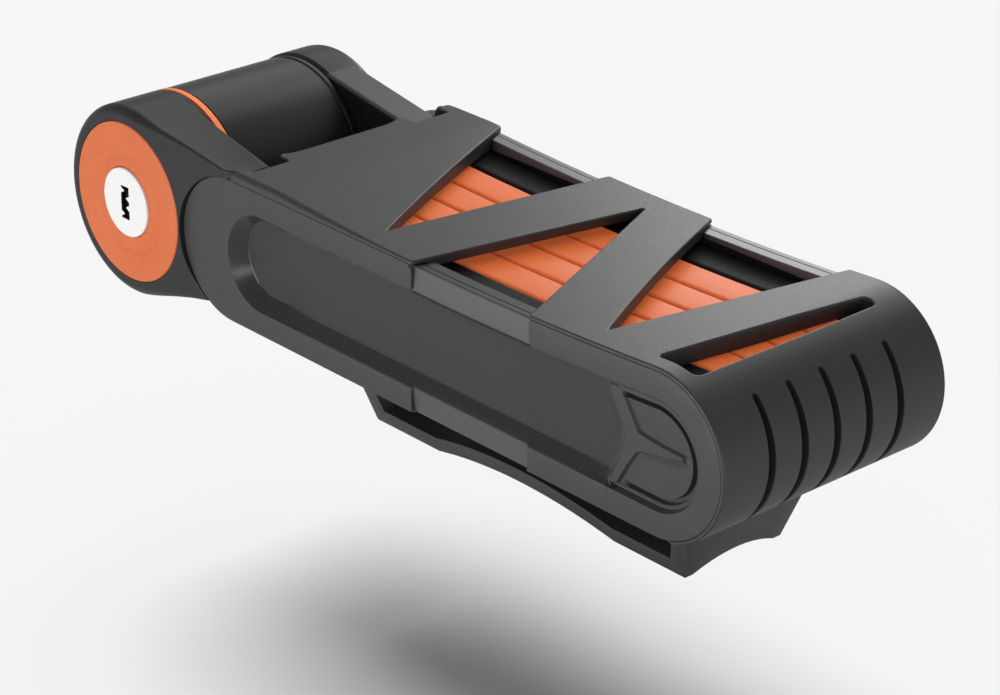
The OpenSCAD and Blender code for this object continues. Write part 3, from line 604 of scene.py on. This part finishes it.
def side_plate(strips):
    """Front plate; strips are the stretches beside windows, with their slants."""
    spans = [(s[0], s[1]) for s in strips]

    def face_y(x, z):
        return plate_depth(np.c_[x, z], spans) - HALF_W

    edge = plate_loop(-0.05)
    for x0, x1 in spans:
        sunk = (edge[:, 0] > x0) & (edge[:, 0] < x1) & (edge[:, 1] > MID_Z)
        edge[sunk, 1] -= RAIL_DROP - (CASE_R - PLATE_R) + 0.15
    step_in = np.where(recess_edge[:, 0] > 39, 0.8, wall_width(recess_edge))
    turned_in = left_normals(recess_edge) * step_in[:, None]
    rings = [recess_edge + turned_in * t for t in (-0.1, 0, 0.1, 0.3, 0.6, 0.9, 1.0, 1.1)]
    rings += [grip_line(GROOVE_OUT, GROOVE_IN, GROOVE_X)]
    rings += [grip_line(GROOVE_OUT + 0.25, GROOVE_IN - 0.25, GROOVE_X + 0.25)]
    rings += [spaced(ridge, 0.5), spaced(ridge - left_normals(ridge) * 0.4, 0.5)]
    grid = [(x, z) for x in np.arange(34, 62, 0.45) for z in np.arange(20, 43, 0.45)]
    grid += [(x, z) for x in np.arange(-78, 34, 6.0) for z in np.arange(20, 44, 4.0)]
    for x0, x1 in spans:
        for x in (x0 - 0.04, x0 + 0.04, x1 - 0.04, x1 + 0.04):
            grid += [(x, z) for z in np.r_[np.arange(15.6, 20.6, 0.45), np.arange(40.0, 46.5, 0.45)]]
    v, f, n = sheet([edge], [0.2], curved(face_y, -1, 0.04), level(-HALF_IN, 1), grid, rings,
                    low_spots=grid[-200:])
    parts = [(v, f, n * 0)]
    for x0, x1, lean_0, lean_1 in strips:
        for y0, y1 in ((-HALF_W + 0.95, -RAIL_MID), (-RAIL_MID + 0.02, -RAIL_IN)):
            a, b = (y0 + HALF_W) / (TIP_Y + HALF_W), (y1 + HALF_W) / (TIP_Y + HALF_W)
            loop = spaced(np.array([[x0 + lean_0 * a + 0.1, y0], [x1 + lean_1 * a - 0.1, y0],
                                    [x1 + lean_1 * b - 0.1, y1], [x0 + lean_0 * b + 0.1, y1]]), 2.0)
            parts.append(sheet([loop], [0.2], rail_top, rail_under))
    return parts


# Painted light: a lighter copy of the plate plastic for the strips beside the windows, standing for light on
# their upward lean.
lit_strip_plastic = moulding("lit_strip_plastic", "#4a4a4c", "#555557", 0.42, bump=0.14)
# Painted light: a much lighter copy of the plate plastic for the rear rails' tops, standing for light that
# grazes them.
lit_rail_plastic = moulding("lit_rail_plastic", "#727274", "#7e7e80", 0.4, bump=0.1)
# Glossier plastic for the recess walls, darkened as painted shade.
glossy_shaded_plastic = moulding("glossy_shaded_plastic", "#29292b", "#2e2e30", 0.27, grain=0.0005, bump=0.0, uneven=0.01)
# Painted shade: a darker copy of the plate plastic for the recess floor and the front rails.
painted_shade_plastic = moulding("painted_shade_plastic", "#29292b", "#313133", 0.5, bump=0.14)
LIT_STRIP, PAINTED_SHADE, LIT_RAIL, GLOSS_SHADE = 1, 2, 3, 4     # places in a plate's list of painted-light and painted-shade copies
GRIP_X = 41.0           # the recess's painted shade ends at the grip
ROUND_X = -53.0         # the wall of its round end lies beyond this


def plate_piece(name, parts, strips, rail):
    """Plate with painted light on the strips beside the windows, rails in the given slot, and painted shade
    in the recess, whose walls are also glossier.
    """
    coats = [case_plastic, lit_strip_plastic, painted_shade_plastic, lit_rail_plastic, glossy_shaded_plastic]
    obj = piece(name, parts, coats, 18.0, [0] + [rail, rail] * len(strips))
    faces = obj.data.polygons
    x, y, z = (np.array([p.center for p in faces]) / MM).T
    out = np.abs(y)
    side = np.array([abs(p.normal.y) for p in faces])
    up = np.array([p.normal.z for p in faces])
    recessed = inside(np.c_[x, z], [recess_edge])
    beside = np.any([(x > x0) & (x < x1) for x0, x1, _, _ in strips], axis=0)
    index = np.array([p.material_index for p in faces])
    # the strips beside the windows take the painted light
    index[beside & (side > 0.9) & ~recessed & (out > HALF_IN + 1)] = LIT_STRIP
    # painted shade on the recess floor and its upward faces, and gloss with painted shade on its walls
    deep = recessed & (out < HALF_W - 0.1) & (out > HALF_IN + 0.2)
    shaded_faces = ((side > 0.97) & (out < HALF_W - 0.75)) | (up > 0.45)
    index[deep & shaded_faces & (x < GRIP_X)] = PAINTED_SHADE
    smooth = (x < ROUND_X) | ((up > 0.3) & (x < GRIP_X))
    index[deep & smooth & (side < 0.9)] = GLOSS_SHADE
    faces.foreach_set("material_index", index.astype(np.int32))
    return obj


front_strips = [(*FRONT_WINDOW, 9.6, -23.0)]
# The front rails take the painted shade of the recess.
front_plate = plate_piece("front_plate", side_plate(front_strips), front_strips, PAINTED_SHADE)
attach(front_plate, "case")
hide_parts("front_side_plate")

rear_strips = [(*REAR_WINDOW_1, 24.8, -7.2), (*REAR_WINDOW_2, 25.0, -10.6)]
# The rear rails take the painted light.
rear_plate = plate_piece("rear_plate", [mirrored(p) for p in side_plate(rear_strips)], rear_strips, LIT_RAIL)
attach(rear_plate, "case")
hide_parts("rear_side_plate")


# FRAME SADDLE
# Moulded foot under the case, of the same plastic: tapered, arched over the frame
# tube and open from side to side for a strap. Four screws hold it to the case floor.
def applied(obj):
    """Gives the object the mesh that its modifiers make."""
    bpy.context.view_layer.update()
    done = bpy.data.meshes.new_from_object(obj.evaluated_get(bpy.context.evaluated_depsgraph_get()))
    obj.modifiers.clear()
    obj.data = done
    done.name = obj.name


def coat(material, *names):
    """Gives CAD nodes that show as they are their material."""
    for name in names:
        nodes[name].data.materials.clear()
        nodes[name].data.materials.append(material)


mesh = nodes["frame_saddle"].data.copy()
mesh.materials.clear()
mesh.materials.append(case_plastic)
saddle = bpy.data.objects.new("saddle_foot", mesh)
bpy.context.scene.collection.objects.link(saddle)
bm = bmesh.new()
bm.from_mesh(mesh)
bmesh.ops.remove_doubles(bm, verts=bm.verts, dist=2e-6)
bmesh.ops.dissolve_limit(bm, angle_limit=math.radians(0.6), verts=bm.verts, edges=bm.edges)
bm.to_mesh(mesh)
bm.free()
mesh.polygons.foreach_set("use_smooth", np.ones(len(mesh.polygons), bool))
edges = saddle.modifiers.new("edges", "BEVEL")
edges.width = 0.35 * MM
edges.segments = 3
edges.limit_method = "ANGLE"
edges.angle_limit = math.radians(30)
applied(saddle)
saddle.data.set_sharp_from_angle(angle=math.radians(40))
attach(saddle, "case")
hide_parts("frame_saddle")

plated_steel = moulding("plated_steel", "#a7a9ac", "#c3c5c8", 0.32, grain=0.0006, bump=0.06, Metallic=1.0)
soft_lining = moulding("soft_lining", "#1b1b1b", "#242424", 0.85, grain=0.0008, bump=0.3)
coat(plated_steel, "saddle_screws")
# The black end bumper is a soft lining that also stands in for the shade seen through the slots of the round
# end.
coat(soft_lining, "floor_pad", "end_bumper")


# FRONT ARM
# Satin black moulding over the first link. It lies in the case as a link and grows
# outside the mouth into the round lock head. Its upward faces inside the case take a
# darker, duller copy of the moulding as painted shade.
BARREL_X = -103.6       # axis of head, barrel and tail
BARREL_R = 20.6
BORE_R = 9.05           # bore along the barrel
LINK_R = 13.0           # round end of a link
INNER_X = -58.0         # inner rivet
LINK_DIP = 1.4          # dip of a link's edges between its rivets
COVER_HALF = 4.05       # half the thickness of a link in its moulding
HEAD_Y = -30.1          # front face of the head
HEAD_BACK = -15.7       # its rear face
TOE = np.array([-74.0, MID_Z - LINK_R])   # the head's lower edge runs out here
FRONT_SHADED_X = -66.0    # from here on the arm's top takes painted shade

lock_moulding = moulding("lock_moulding", "#28282a", "#303032", 0.36, grain=0.0005, bump=0.06, wave=0.25,
                         Specular_IOR_Level=0.35)


def touch_angle(p, r, turn):
    gap = np.array(p) - np.array([BARREL_X, MID_Z])
    return math.degrees(math.atan2(gap[1], gap[0]) + turn * math.acos(r / np.linalg.norm(gap)))


link_x = np.linspace(INNER_X, END_X, 60)
link_half = dipped(link_x, INNER_X, END_X, LINK_R, LINK_DIP)
link_side = np.concatenate([
    np.c_[link_x, MID_Z - link_half],
    arc(END_X, MID_Z, LINK_R, -90, 90, 49)[1:],
    np.c_[link_x, MID_Z + link_half][-2::-1],
])


def arm_loop(r, shoulder):
    """Arm outline, counterclockwise seen from the front."""
    return spaced(np.concatenate([
        link_side,
        rounded([(-58.5, MID_Z + LINK_R), (-66.3, MID_Z + LINK_R), shoulder,
                 (shoulder[0] - 6, shoulder[1] + 1.02)], [0, 1.5, 2.0, 0])[1:-1],
        arc(BARREL_X, MID_Z, r, touch_angle(shoulder, r, 1), 360 + touch_angle(TOE, r, -1), 121),
        rounded([(-80, MID_Z - LINK_R - 1.7), TOE, (-60, MID_Z - LINK_R)], [0, 4, 0])[1:-1],
    ]), 2.0)


def rivet_hole(x):
    return wound(arc(x, MID_Z, 7.3, 0, 352.5, 48), False)


def neck_line(x):
    """Top edge of the front cheek from the head to the case."""
    return np.interp(x, [-100.4, shoulder[0], neck_end[0]], [51.72, shoulder[1], neck_end[1]])


first_y = -2.5 * LAYER
ARM_BACK = first_y + COVER_HALF
slab = arm_loop(BARREL_R - 0.3, (-68.0, 44.5))
arm_bar = sheet([slab, rivet_hole(END_X)], [0.7, 0.3], level(first_y - COVER_HALF, -1),
                level(ARM_BACK, 1), low=0.6)
collar = lathe(
    [(BORE_R, HEAD_BACK), (20.2, HEAD_BACK), (BARREL_R, HEAD_BACK - 0.4), (BARREL_R, ARM_BACK - 0.02),
     (BORE_R, ARM_BACK - 0.02), (BORE_R, HEAD_BACK)], BARREL_X, MID_Z, flip=True)

axis = np.array([BARREL_X, MID_Z])
neck_end = np.array([-66.5, 48.1])
JAMB_X = -71.1          # the neck turns into the cover's notch here
shoulder = np.array([JAMB_X, 48.15])
a_top = touch_angle(shoulder, BARREL_R, 1)
a_toe = 360 + touch_angle(TOE, BARREL_R, -1)
head_arc = arc(BARREL_X, MID_Z, BARREL_R, a_top, a_toe, 150)
low_line = head_arc[-1] + (TOE - head_arc[-1]) * np.linspace(0, 1, 200)[:, None]
ear_gap = EAR_R + 0.05
low_end = low_line[np.linalg.norm(low_line - EAR, axis=1) > ear_gap][-1]
ear_low = math.degrees(math.atan2(*(low_end - EAR)[::-1])) % 360
ear_top = math.degrees(math.acos((JAMB_X - EAR[0]) / ear_gap))
ear_line = arc(EAR[0], EAR[1], ear_gap, ear_low, ear_top, 60)
HOLE_R = 17.35          # seat of the bezel
head_loop = np.concatenate([head_arc, [low_end], ear_line[1:], [(neck_end[0], 46.3), neck_end, shoulder]])
head_loop = spaced(head_loop, 0.9)
bezel_hole = wound(arc(BARREL_X, MID_Z, HOLE_R, 0, 358, 180), False)


def cheek(x, z):
    """Front face of head and neck: level round the bezel, dished beside the ear."""
    out = np.hypot(x - BARREL_X, z - MID_Z) - HOLE_R
    dish = np.interp(z, [36, 48], [1.0, 0.5]) * ease(out / 10) * ease((x + 97) / 9)
    return HEAD_Y + dish + 0.62 * np.clip(x - JAMB_X, 0, 5)


def neck_back(x, z):
    """Rear face of the head; above the link it leans in towards the case."""
    rim = np.interp(x, [-103, -97, -90, -81.5, -73, -66], [ARM_BACK, -17.0, -18.6, -19.3, -20.3, -21.5])
    return ARM_BACK + (rim - ARM_BACK) * np.clip((z - 40) / (neck_line(x) - 40), 0, 1)


in_notch = (head_loop[:, 0] > JAMB_X - 0.05) & (head_loop[:, 1] < 46.6)
on_ear = (np.linalg.norm(head_loop - EAR, axis=1) < ear_gap + 0.05) | in_notch
on_round = np.abs(np.linalg.norm(head_loop - axis, axis=1) - BARREL_R) < 0.05
head_r = np.where(head_loop[:, 1] > MID_Z, np.interp(head_loop[:, 0], [-100, -90, -72], [2.1, 0.9, 0.4]),
                  np.interp(head_loop[:, 0], [-98, low_end[0] - 6, low_end[0]], [2.1, 1.2, 0.2]))
head_r = np.where(on_ear, 0.16, np.where(on_round, 2.1, head_r))
head_low = np.where(on_round, 0.02, np.where(on_ear, 0.1, 0.45))
for _ in range(3):
    head_r, head_low = smoothed(head_r), smoothed(head_low)
head_spots = [(x, z) for x in np.arange(-97, -66, 1.0) for z in np.arange(12, 51, 1.5)]
head = sheet([head_loop, bezel_hole], [head_r, 0.08], curved(cheek, -1), curved(neck_back, 1), head_spots,
             low=[head_low, 0.02], steps=6)
# Painted shade: a darker, duller copy of the lock moulding for upward faces inside the case.
shaded_lock_moulding = moulding("shaded_lock_moulding", "#222223", "#292a2a", 0.6, grain=0.0005, bump=0.06, wave=0.2,
                      Specular_IOR_Level=0.12)
front_arm = piece("front_arm_moulding", [arm_bar, collar, head], [lock_moulding, shaded_lock_moulding])
# upward faces inside the case get the painted shade
for p in front_arm.data.polygons:
    p.material_index = int(p.center.x > FRONT_SHADED_X * MM and p.normal.z > 0.3)
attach(front_arm, "lock")
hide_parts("front_arm")


# REAR ARM
# Twin of the front arm over the last link, of the same black moulding; its upward faces
# outside the case are grained and painted lighter grey as light, and inside the case they
# take the painted shade. Its round tail closes the barrel.
TAIL_FACE = 26.8        # rear face of the tail
TAIL_R = 21.0
REAR_SHADED_X = -69.0     # from here on the arm's top takes painted shade
last_y = 2.5 * LAYER
TAIL_Y = last_y - COVER_HALF
tail_slab = arm_loop(BARREL_R - 0.2, (-68.0, 46.25))
tail_arm = sheet([tail_slab, rivet_hole(END_X)], [0.9, 0.3], level(TAIL_Y, -1),
                 level(last_y + COVER_HALF, 1), low=0.7)
tail = lathe(
    [(BORE_R, TAIL_Y + 0.1), (TAIL_R - 0.5, TAIL_Y + 0.1), (TAIL_R, TAIL_Y + 0.6)]
    + bend(TAIL_R, TAIL_FACE - 1.8, TAIL_R - 1.8, TAIL_FACE, 8) + [(0, TAIL_FACE)], BARREL_X, MID_Z)
rear_cheek_loop = spaced(wound(np.concatenate([
    arc(BARREL_X, MID_Z, 18.5, a_top, a_toe - 360, 40), [head_arc[-1]], [low_end],
    ear_line[1:][ear_line[1:, 1] < 44.8]]), True), 0.8)


def rear_cheek_y(x, z):
    return -TAIL_FACE + 1.5 * ease((x + 95.0) / 24.0)


cheek_spots = [(x, z) for x in np.arange(-100, -71, 2.0) for z in np.arange(14, 52, 3.0)]
rear_cheek = mirrored(sheet([rear_cheek_loop], [0.8], curved(rear_cheek_y, -1), level(-last_y, 1),
                            cheek_spots))
# Painted light: grained grey for the rear arm's upward faces outside the case, lighter than the black
# moulding of the same piece.
grained_lit_moulding = moulding("grained_lit_moulding", "#505052", "#5c5c5e", 0.5, grain=0.0004, bump=0.2)
rear_arm = piece("rear_arm_moulding", [tail_arm, tail, rear_cheek],
                 [grained_lit_moulding, lock_moulding, shaded_lock_moulding])
# upward faces take painted light outside the case and painted shade inside
for p in rear_arm.data.polygons:
    p.material_index = 1 if p.normal.z < 0.5 else 2 * int(p.center.x > REAR_SHADED_X * MM)
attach(rear_arm, "lock")
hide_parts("rear_arm")


# LINK COVERS
# Four orange mouldings round the inner steel links, side by side in the case. Each is
# open over its two rivets.
orange_moulding = moulding("orange_moulding", "#d4622c", "#df7038", 0.5, grain=0.0005, bump=0.08, wave=0.2,
                           Specular_IOR_Level=0.3)


def repeated(name):
    """Geometry nodes that set a mesh out on a row of points, and the keys of their inputs."""
    tree = bpy.data.node_groups.new(name, "GeometryNodeTree")
    keys = {}
    for key, kind in (("Geometry", "Geometry"), ("Count", "Int"), ("Start", "Vector"), ("Step", "Vector"),
                      ("Material", "Material")):
        socket = tree.interface.new_socket(key, in_out="INPUT", socket_type="NodeSocket" + kind)
        keys[key] = socket.identifier
    tree.interface.new_socket("Geometry", in_out="OUTPUT", socket_type="NodeSocketGeometry")
    given = add(tree, "NodeGroupInput").outputs
    row = add(tree, "GeometryNodeMeshLine", [("Count", given["Count"]), ("Start Location", given["Start"]),
                                             ("Offset", given["Step"])])
    copies = add(tree, "GeometryNodeInstanceOnPoints",
                 [("Points", row.outputs["Mesh"]), ("Instance", given["Geometry"])])
    real = add(tree, "GeometryNodeRealizeInstances", [("Geometry", copies.outputs["Instances"])])
    painted = add(tree, "GeometryNodeSetMaterial",
                  [("Geometry", real.outputs["Geometry"]), ("Material", given["Material"])])
    add(tree, "NodeGroupOutput", [("Geometry", painted.outputs["Geometry"])])
    return tree, keys


def set_out(obj, count, start, step, material):
    """Replaces the object's mesh by a row of copies of it."""
    tree, keys = repeated(obj.name + "_row")
    mod = obj.modifiers.new("row", "NODES")
    mod.node_group = tree
    mod[keys["Count"]] = count
    mod[keys["Start"]] = [v * MM for v in start]
    mod[keys["Step"]] = [v * MM for v in step]
    mod[keys["Material"]] = material
    applied(obj)


inner_end = arc(INNER_X, MID_Z, LINK_R, 90, 270, 49)[1:-1]
cover_loop = spaced(np.concatenate([link_side, inner_end]), 2.0)
v, f, n = sheet([cover_loop, rivet_hole(END_X), rivet_hole(INNER_X)], [0.9, 0.3, 0.3],
                level(-COVER_HALF, -1), level(COVER_HALF, 1), low=0.9)
covers = piece("link_covers", [(v, f, n * 0)], [orange_moulding])
set_out(covers, 4, (0, -1.5 * LAYER, 0), (0, LAYER, 0), orange_moulding)
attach(covers, "lock")
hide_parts("link_cover_2", "link_cover_3", "link_cover_4", "link_cover_5")


# STEEL LINKS, RIVETS AND WASHERS
# Six hardened bars inside the mouldings, riveted in pairs over nylon washers. Plated
# rivets hold three pairs at the closed end and two at the inner end.
hardened_steel = moulding("hardened_steel", "#7d8083", "#95989b", 0.38, grain=0.0007, bump=0.08,
                          Metallic=1.0)
coat(hardened_steel, "front_steel_link", "steel_link_2", "steel_link_3", "steel_link_4", "steel_link_5",
     "rear_steel_link")

RIVET_Y = LAYER / 2 + 2.5       # underside of a head from the middle of the pair
rivet_half = [(0, RIVET_Y + 1.3), (2.4, RIVET_Y + 1.28), (4.2, RIVET_Y + 1.1), (5.4, RIVET_Y + 0.8),
              (6.1, RIVET_Y + 0.5), (6.45, RIVET_Y + 0.2), (6.5, RIVET_Y), (4.0, RIVET_Y)]
rivet_profile = rivet_half + [(r, -y) for r, y in rivet_half[::-1]]


def rivet_row(name, x, count, node):
    obj = piece(name, [lathe(rivet_profile, x, MID_Z, 64, flip=True)], [plated_steel])
    set_out(obj, count, (0, -(count - 1) * LAYER, 0), (0, 2 * LAYER, 0), plated_steel)
    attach(obj, "lock")
    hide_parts(node)


rivet_row("end_rivet_row", END_X, 3, "end_rivets")
rivet_row("inner_rivet_row", INNER_X, 2, "inner_rivets")

nylon = moulding("nylon", "#cfc9b6", "#dcd7c6", 0.45, grain=0.0006)
coat(nylon, "link_washers")


# BARREL
# Orange ring and satin black sleeve between the head and the tail. A steel stud on the
# last link stands inside and takes the cross bar of the lock.
SLEEVE_Y = -14.3        # front end of the sleeve
SLEEVE_R = 20.5
RING_BORE = 9.3
ring_profile = [
    (RING_BORE, SLEEVE_Y - 0.02), (SLEEVE_R, SLEEVE_Y - 0.02), (BARREL_R, SLEEVE_Y - 0.12),
    (BARREL_R, HEAD_BACK + 0.12), (SLEEVE_R, HEAD_BACK + 0.02), (RING_BORE, HEAD_BACK + 0.02),
    (RING_BORE, SLEEVE_Y - 0.02)]
# Painted light: the ring's orange is lighter than the link covers' so that it looks lit.
lit_ring_orange = moulding("lit_ring_orange", "#f2752f", "#fb8440", 0.45, grain=0.0005)
ring = piece("barrel_ring_band", [lathe(ring_profile, BARREL_X, MID_Z, flip=True)], [lit_ring_orange])
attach(ring, "lock")
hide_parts("barrel_ring")

sleeve_profile = [
    (BORE_R, SLEEVE_Y), (20.1, SLEEVE_Y), (SLEEVE_R, SLEEVE_Y + 0.35), (SLEEVE_R, TAIL_Y - 2.1),
    (20.2, TAIL_Y - 1.85), (20.2, TAIL_Y - 1.45), (SLEEVE_R, TAIL_Y - 1.2), (SLEEVE_R, TAIL_Y - 0.3),
    (20.2, TAIL_Y - 0.02), (17.6, TAIL_Y - 0.02), (17.6, SLEEVE_Y + 3), (BORE_R, SLEEVE_Y + 3),
    (BORE_R, SLEEVE_Y)]
sleeve_black = moulding("sleeve_black", "#1f1f20", "#222223", 0.33, grain=0.0005, bump=0.0, uneven=0.01)
sleeve = piece("barrel_sleeve_tube", [lathe(sleeve_profile, BARREL_X, MID_Z)], [sleeve_black])
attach(sleeve, "lock")
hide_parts("barrel_sleeve")
coat(hardened_steel, "locking_stud")


# LOCK CYLINDER
# Orange bezel pressed into the head, a brass body behind it and a nickel plug with a
# zigzag keyway. The plug turns with its clip and its tail.
bezel_orange = moulding("bezel_orange", "#de6f42", "#e67c4c", 0.5, grain=0.0005, bump=0.06, wave=0.2,
                        Specular_IOR_Level=0.3)
BEZEL_Y, BEZEL_BACK = -30.25, -27.3     # front and rear face
BEZEL_R, BEZEL_BORE = 17.25, 7.6
bezel_profile = (
    [(BEZEL_BORE, BEZEL_BACK), (BEZEL_BORE, BEZEL_Y + 0.3)] + bend(7.65, BEZEL_Y + 0.2, 7.9, BEZEL_Y, 4)
    + [(8.7, BEZEL_Y), (9.2, BEZEL_Y + 0.04), (9.8, BEZEL_Y + 0.28), (10.5, BEZEL_Y + 0.38),
       (11.1, BEZEL_Y + 0.28), (11.6, BEZEL_Y + 0.06), (12.0, BEZEL_Y + 0.01), (14.5, BEZEL_Y),
       (BEZEL_R - 0.35, BEZEL_Y)]
    + [(BEZEL_R - 0.35 + 0.35 * math.sin(math.radians(a)), BEZEL_Y + 0.35 - 0.35 * math.cos(math.radians(a)))
       for a in (20, 40, 60, 75, 90)]
    + [(BEZEL_R, BEZEL_BACK), (BEZEL_BORE, BEZEL_BACK)])
bezel = piece("key_bezel_disc", [lathe(bezel_profile, BARREL_X, MID_Z)], [bezel_orange])
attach(bezel, "lock")
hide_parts("key_bezel")

cylinder_brass = moulding("cylinder_brass", "#b39a5c", "#c4ab6c", 0.35, grain=0.0006, Metallic=1.0)
coat(cylinder_brass, "cylinder_body")

# Nickel plug with a near-white, non-metal base: painted highlight for its bright, lit face.
plug_nickel = moulding("plug_nickel", "#fbfbfa", "#ffffff", 0.3, grain=0.0006, bump=0.02)
# Painted shade: near black for the keyway's walls and floor, where the slot lies in shade.
keyway_painted_shade = moulding("keyway_painted_shade", "#0a0a0a", "#101010", 0.6, grain=0.0006)
PLUG_Y, PLUG_BACK = -30.75, -26.4  # front and back of the plug's disc
KEY_H, KEY_W = 3.6, 1.35          # half height and half width of the keyway
WARD_H, WARD_W = 0.68, 1.2        # half height and reach of a ward
wards = [[(KEY_W, z - WARD_H), (KEY_W - WARD_W, z), (KEY_W, z + WARD_H)] for z in (-1.03, 1.03)]
wards += [[(KEY_W, KEY_H), (-KEY_W, KEY_H)]]
wards += [[(-KEY_W, z + WARD_H), (WARD_W - KEY_W, z), (-KEY_W, z - WARD_H)] for z in (2.58, -2.58)]
warded = np.concatenate([[(-KEY_W, -KEY_H), (KEY_W, -KEY_H)], *wards])
keyway = rounded(wound(warded + [BARREL_X, MID_Z], False), 0.12, 3)
disc = wound(arc(BARREL_X, MID_Z, 7.5, 0, 357.5, 144), True)
plug_grid = np.arange(-7, 7.1, 1.4)
face_plug = sheet([disc, spaced(keyway, 0.5)], [0.35, 0.1], level(PLUG_Y, -1), level(PLUG_BACK, 1),
                  [(BARREL_X + x, MID_Z + z) for x in plug_grid for z in plug_grid])
# A sheet in painted shade closes the keyway.
keyway_floor = sheet([wound(keyway, True)], [0.05], level(-29.4, -1), level(-26.6, 1))
plug = piece("key_plug_disc", [face_plug, keyway_floor], [plug_nickel, keyway_painted_shade], slots=[0, 1])
# the keyway's walls take the painted shade
for p in plug.data.polygons:
    c = p.center / MM
    beside_key = abs(c.x - BARREL_X) < 2.2 and abs(c.z - MID_Z) < 4.6
    if beside_key and abs(p.normal.y) < 0.5 and c.y > PLUG_Y + 0.05:
        p.material_index = 1
rod_back = lathe([(6.6, PLUG_BACK), (6.6, -17.9), (3.5, -17.9), (3.5, -16.85), (0, -16.85)],
                 BARREL_X, MID_Z, 64)
plug_rod = piece("key_plug_core", [rod_back], [plug_nickel])
for obj in (plug, plug_rod):
    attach(obj, "key_plug")
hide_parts("key_plug")
coat(plated_steel, "plug_clip", "plug_tail")


# STUDIO
# Pale floor some way below the hovering lock, under a dim sky with a broad light at the
# rear left. Softboxes stand behind, on the right and low in front. Three suns reach only
# the floor, the front plate, or the orange links and ring.
FLOOR_Z = -0.051
floor_mesh = bpy.data.meshes.new("floor")
SPAN = 6.0
floor_mesh.from_pydata([(-SPAN, -SPAN, FLOOR_Z), (SPAN, -SPAN, FLOOR_Z), (SPAN, SPAN, FLOOR_Z),
                        (-SPAN, SPAN, FLOOR_Z)], [], [(0, 1, 2, 3)])
floor = bpy.data.objects.new("floor", floor_mesh)
bpy.context.scene.collection.objects.link(floor)
FLOOR_SEEN, FLOOR_BOUNCE = 0.62, 0.355      # shade of the floor for the eye and for bounced light
pale = bpy.data.materials.new("pale_floor")
pale.use_nodes = True
paint = pale.node_tree.nodes["Principled BSDF"].inputs
seen = add(pale.node_tree, "ShaderNodeLightPath").outputs["Is Camera Ray"]
shade = add(pale.node_tree, "ShaderNodeMapRange", [("Value", seen)], To_Min=FLOOR_BOUNCE, To_Max=FLOOR_SEEN)
pale.node_tree.links.new(shade.outputs[0], paint["Base Color"])
paint["Roughness"].default_value = 0.9
paint["Specular IOR Level"].default_value = 0.0
floor_mesh.materials.append(pale)

world = bpy.data.worlds.new("studio")
bpy.context.scene.world = world
world.use_nodes = True
sky = world.node_tree
sky.nodes.clear()
SKY = 0.32                        # even part of the sky
OVERHEAD = 1.05                   # added inside the overhead light
OVERHEAD_WAY = Vector((-0.44, 0.5, 0.74)).normalized()
way = add(sky, "ShaderNodeTexCoord").outputs["Generated"]
facing = add(sky, "ShaderNodeVectorMath", [(0, way)], operation="DOT_PRODUCT")
facing.inputs[1].default_value = OVERHEAD_WAY
overhead = add(sky, "ShaderNodeMapRange", [("Value", facing.outputs["Value"])],
               interpolation_type="SMOOTHSTEP", From_Min=0.83, From_Max=0.94,
               To_Min=SKY, To_Max=SKY + OVERHEAD)
glow = add(sky, "ShaderNodeBackground", [("Strength", overhead.outputs[0])])
add(sky, "ShaderNodeOutputWorld", [("Surface", glow.outputs[0])])

only_lock = bpy.data.collections.new("softbox_receivers")
only_lock.objects.link(floor)
only_lock.collection_objects[0].light_linking.link_state = "EXCLUDE"


def softbox(name, spot, aim, size, power):
    """Rectangular light that shines on the lock and leaves the floor even."""
    lamp = bpy.data.lights.new(name, "AREA")
    lamp.shape = "RECTANGLE"
    lamp.size, lamp.size_y = size[0] * MM, size[1] * MM
    lamp.energy = power
    obj = bpy.data.objects.new(name, lamp)
    obj.location = Vector(spot) * MM
    obj.rotation_euler = (Vector(aim) - Vector(spot)).to_track_quat("-Z", "Y").to_euler()
    bpy.context.scene.collection.objects.link(obj)
    obj.light_linking.receiver_collection = only_lock


softbox("rear_softbox", (-60, 200, 155), (20, 0, 45), (220, 100), 0.1)
softbox("rear_left_softbox", (-140, 260, 150), (20, 0, 45), (160, 100), 0.19)
softbox("front_softbox", (-120, -470, 15), (-10, -20, 20), (340, 130), 1.2)
softbox("right_softbox", (450, -40, 40), (60, 0, 30), (300, 250), 0.42)


def sunlight(name, receivers, direction, spread, strength):
    """Even light on a few objects only."""
    lamp = bpy.data.lights.new(name, "SUN")
    lamp.energy = strength
    lamp.angle = math.radians(spread)
    obj = bpy.data.objects.new(name, lamp)
    obj.rotation_euler = Vector(direction).to_track_quat("Z", "Y").to_euler()
    bpy.context.scene.collection.objects.link(obj)
    group = bpy.data.collections.new(name + "_receivers")
    for receiver in receivers:
        group.objects.link(receiver)
    obj.light_linking.receiver_collection = group
    return lamp


sunlight("floor_light", [floor], (-0.74, 0.11, 0.9), 34, 4.51)
sunlight("recess_glint", [front_plate], (0.445, -0.857, 0.226), 16, 0.25)
sunlight("window_fill", [covers, ring], (0, 0, 1), 60, 1.75).use_shadow = False

bpy.context.scene.view_settings.view_transform = "Standard"


# CAMERA
# Long lens from the right front, a little above, as in the photograph. Its place and
# its turn were solved from the picture's perspective.
AZ, EL, ROLL = (math.radians(a) for a in (47.606, 24.942, 0.642))
back = Vector((math.sin(AZ) * math.cos(EL), -math.cos(AZ) * math.cos(EL), math.sin(EL)))
right = (-back).cross(Vector((0, 0, 1))).normalized()
up = right.cross(-back)
right, up = (math.cos(ROLL) * right + math.sin(ROLL) * up, math.cos(ROLL) * up - math.sin(ROLL) * right)
turn = Matrix((right, up, back)).transposed().to_4x4()
camera = bpy.data.objects.new("camera", bpy.data.cameras.new("camera"))
camera.data.lens = 115.21
camera.data.sensor_width = 36.0
camera.data.sensor_fit = "HORIZONTAL"
camera.data.clip_start = 0.02
camera.matrix_world = Matrix.Translation(Vector((402.81, -387.28, 284.91)) * MM) @ turn
bpy.context.scene.collection.objects.link(camera)
bpy.context.scene.camera = camera
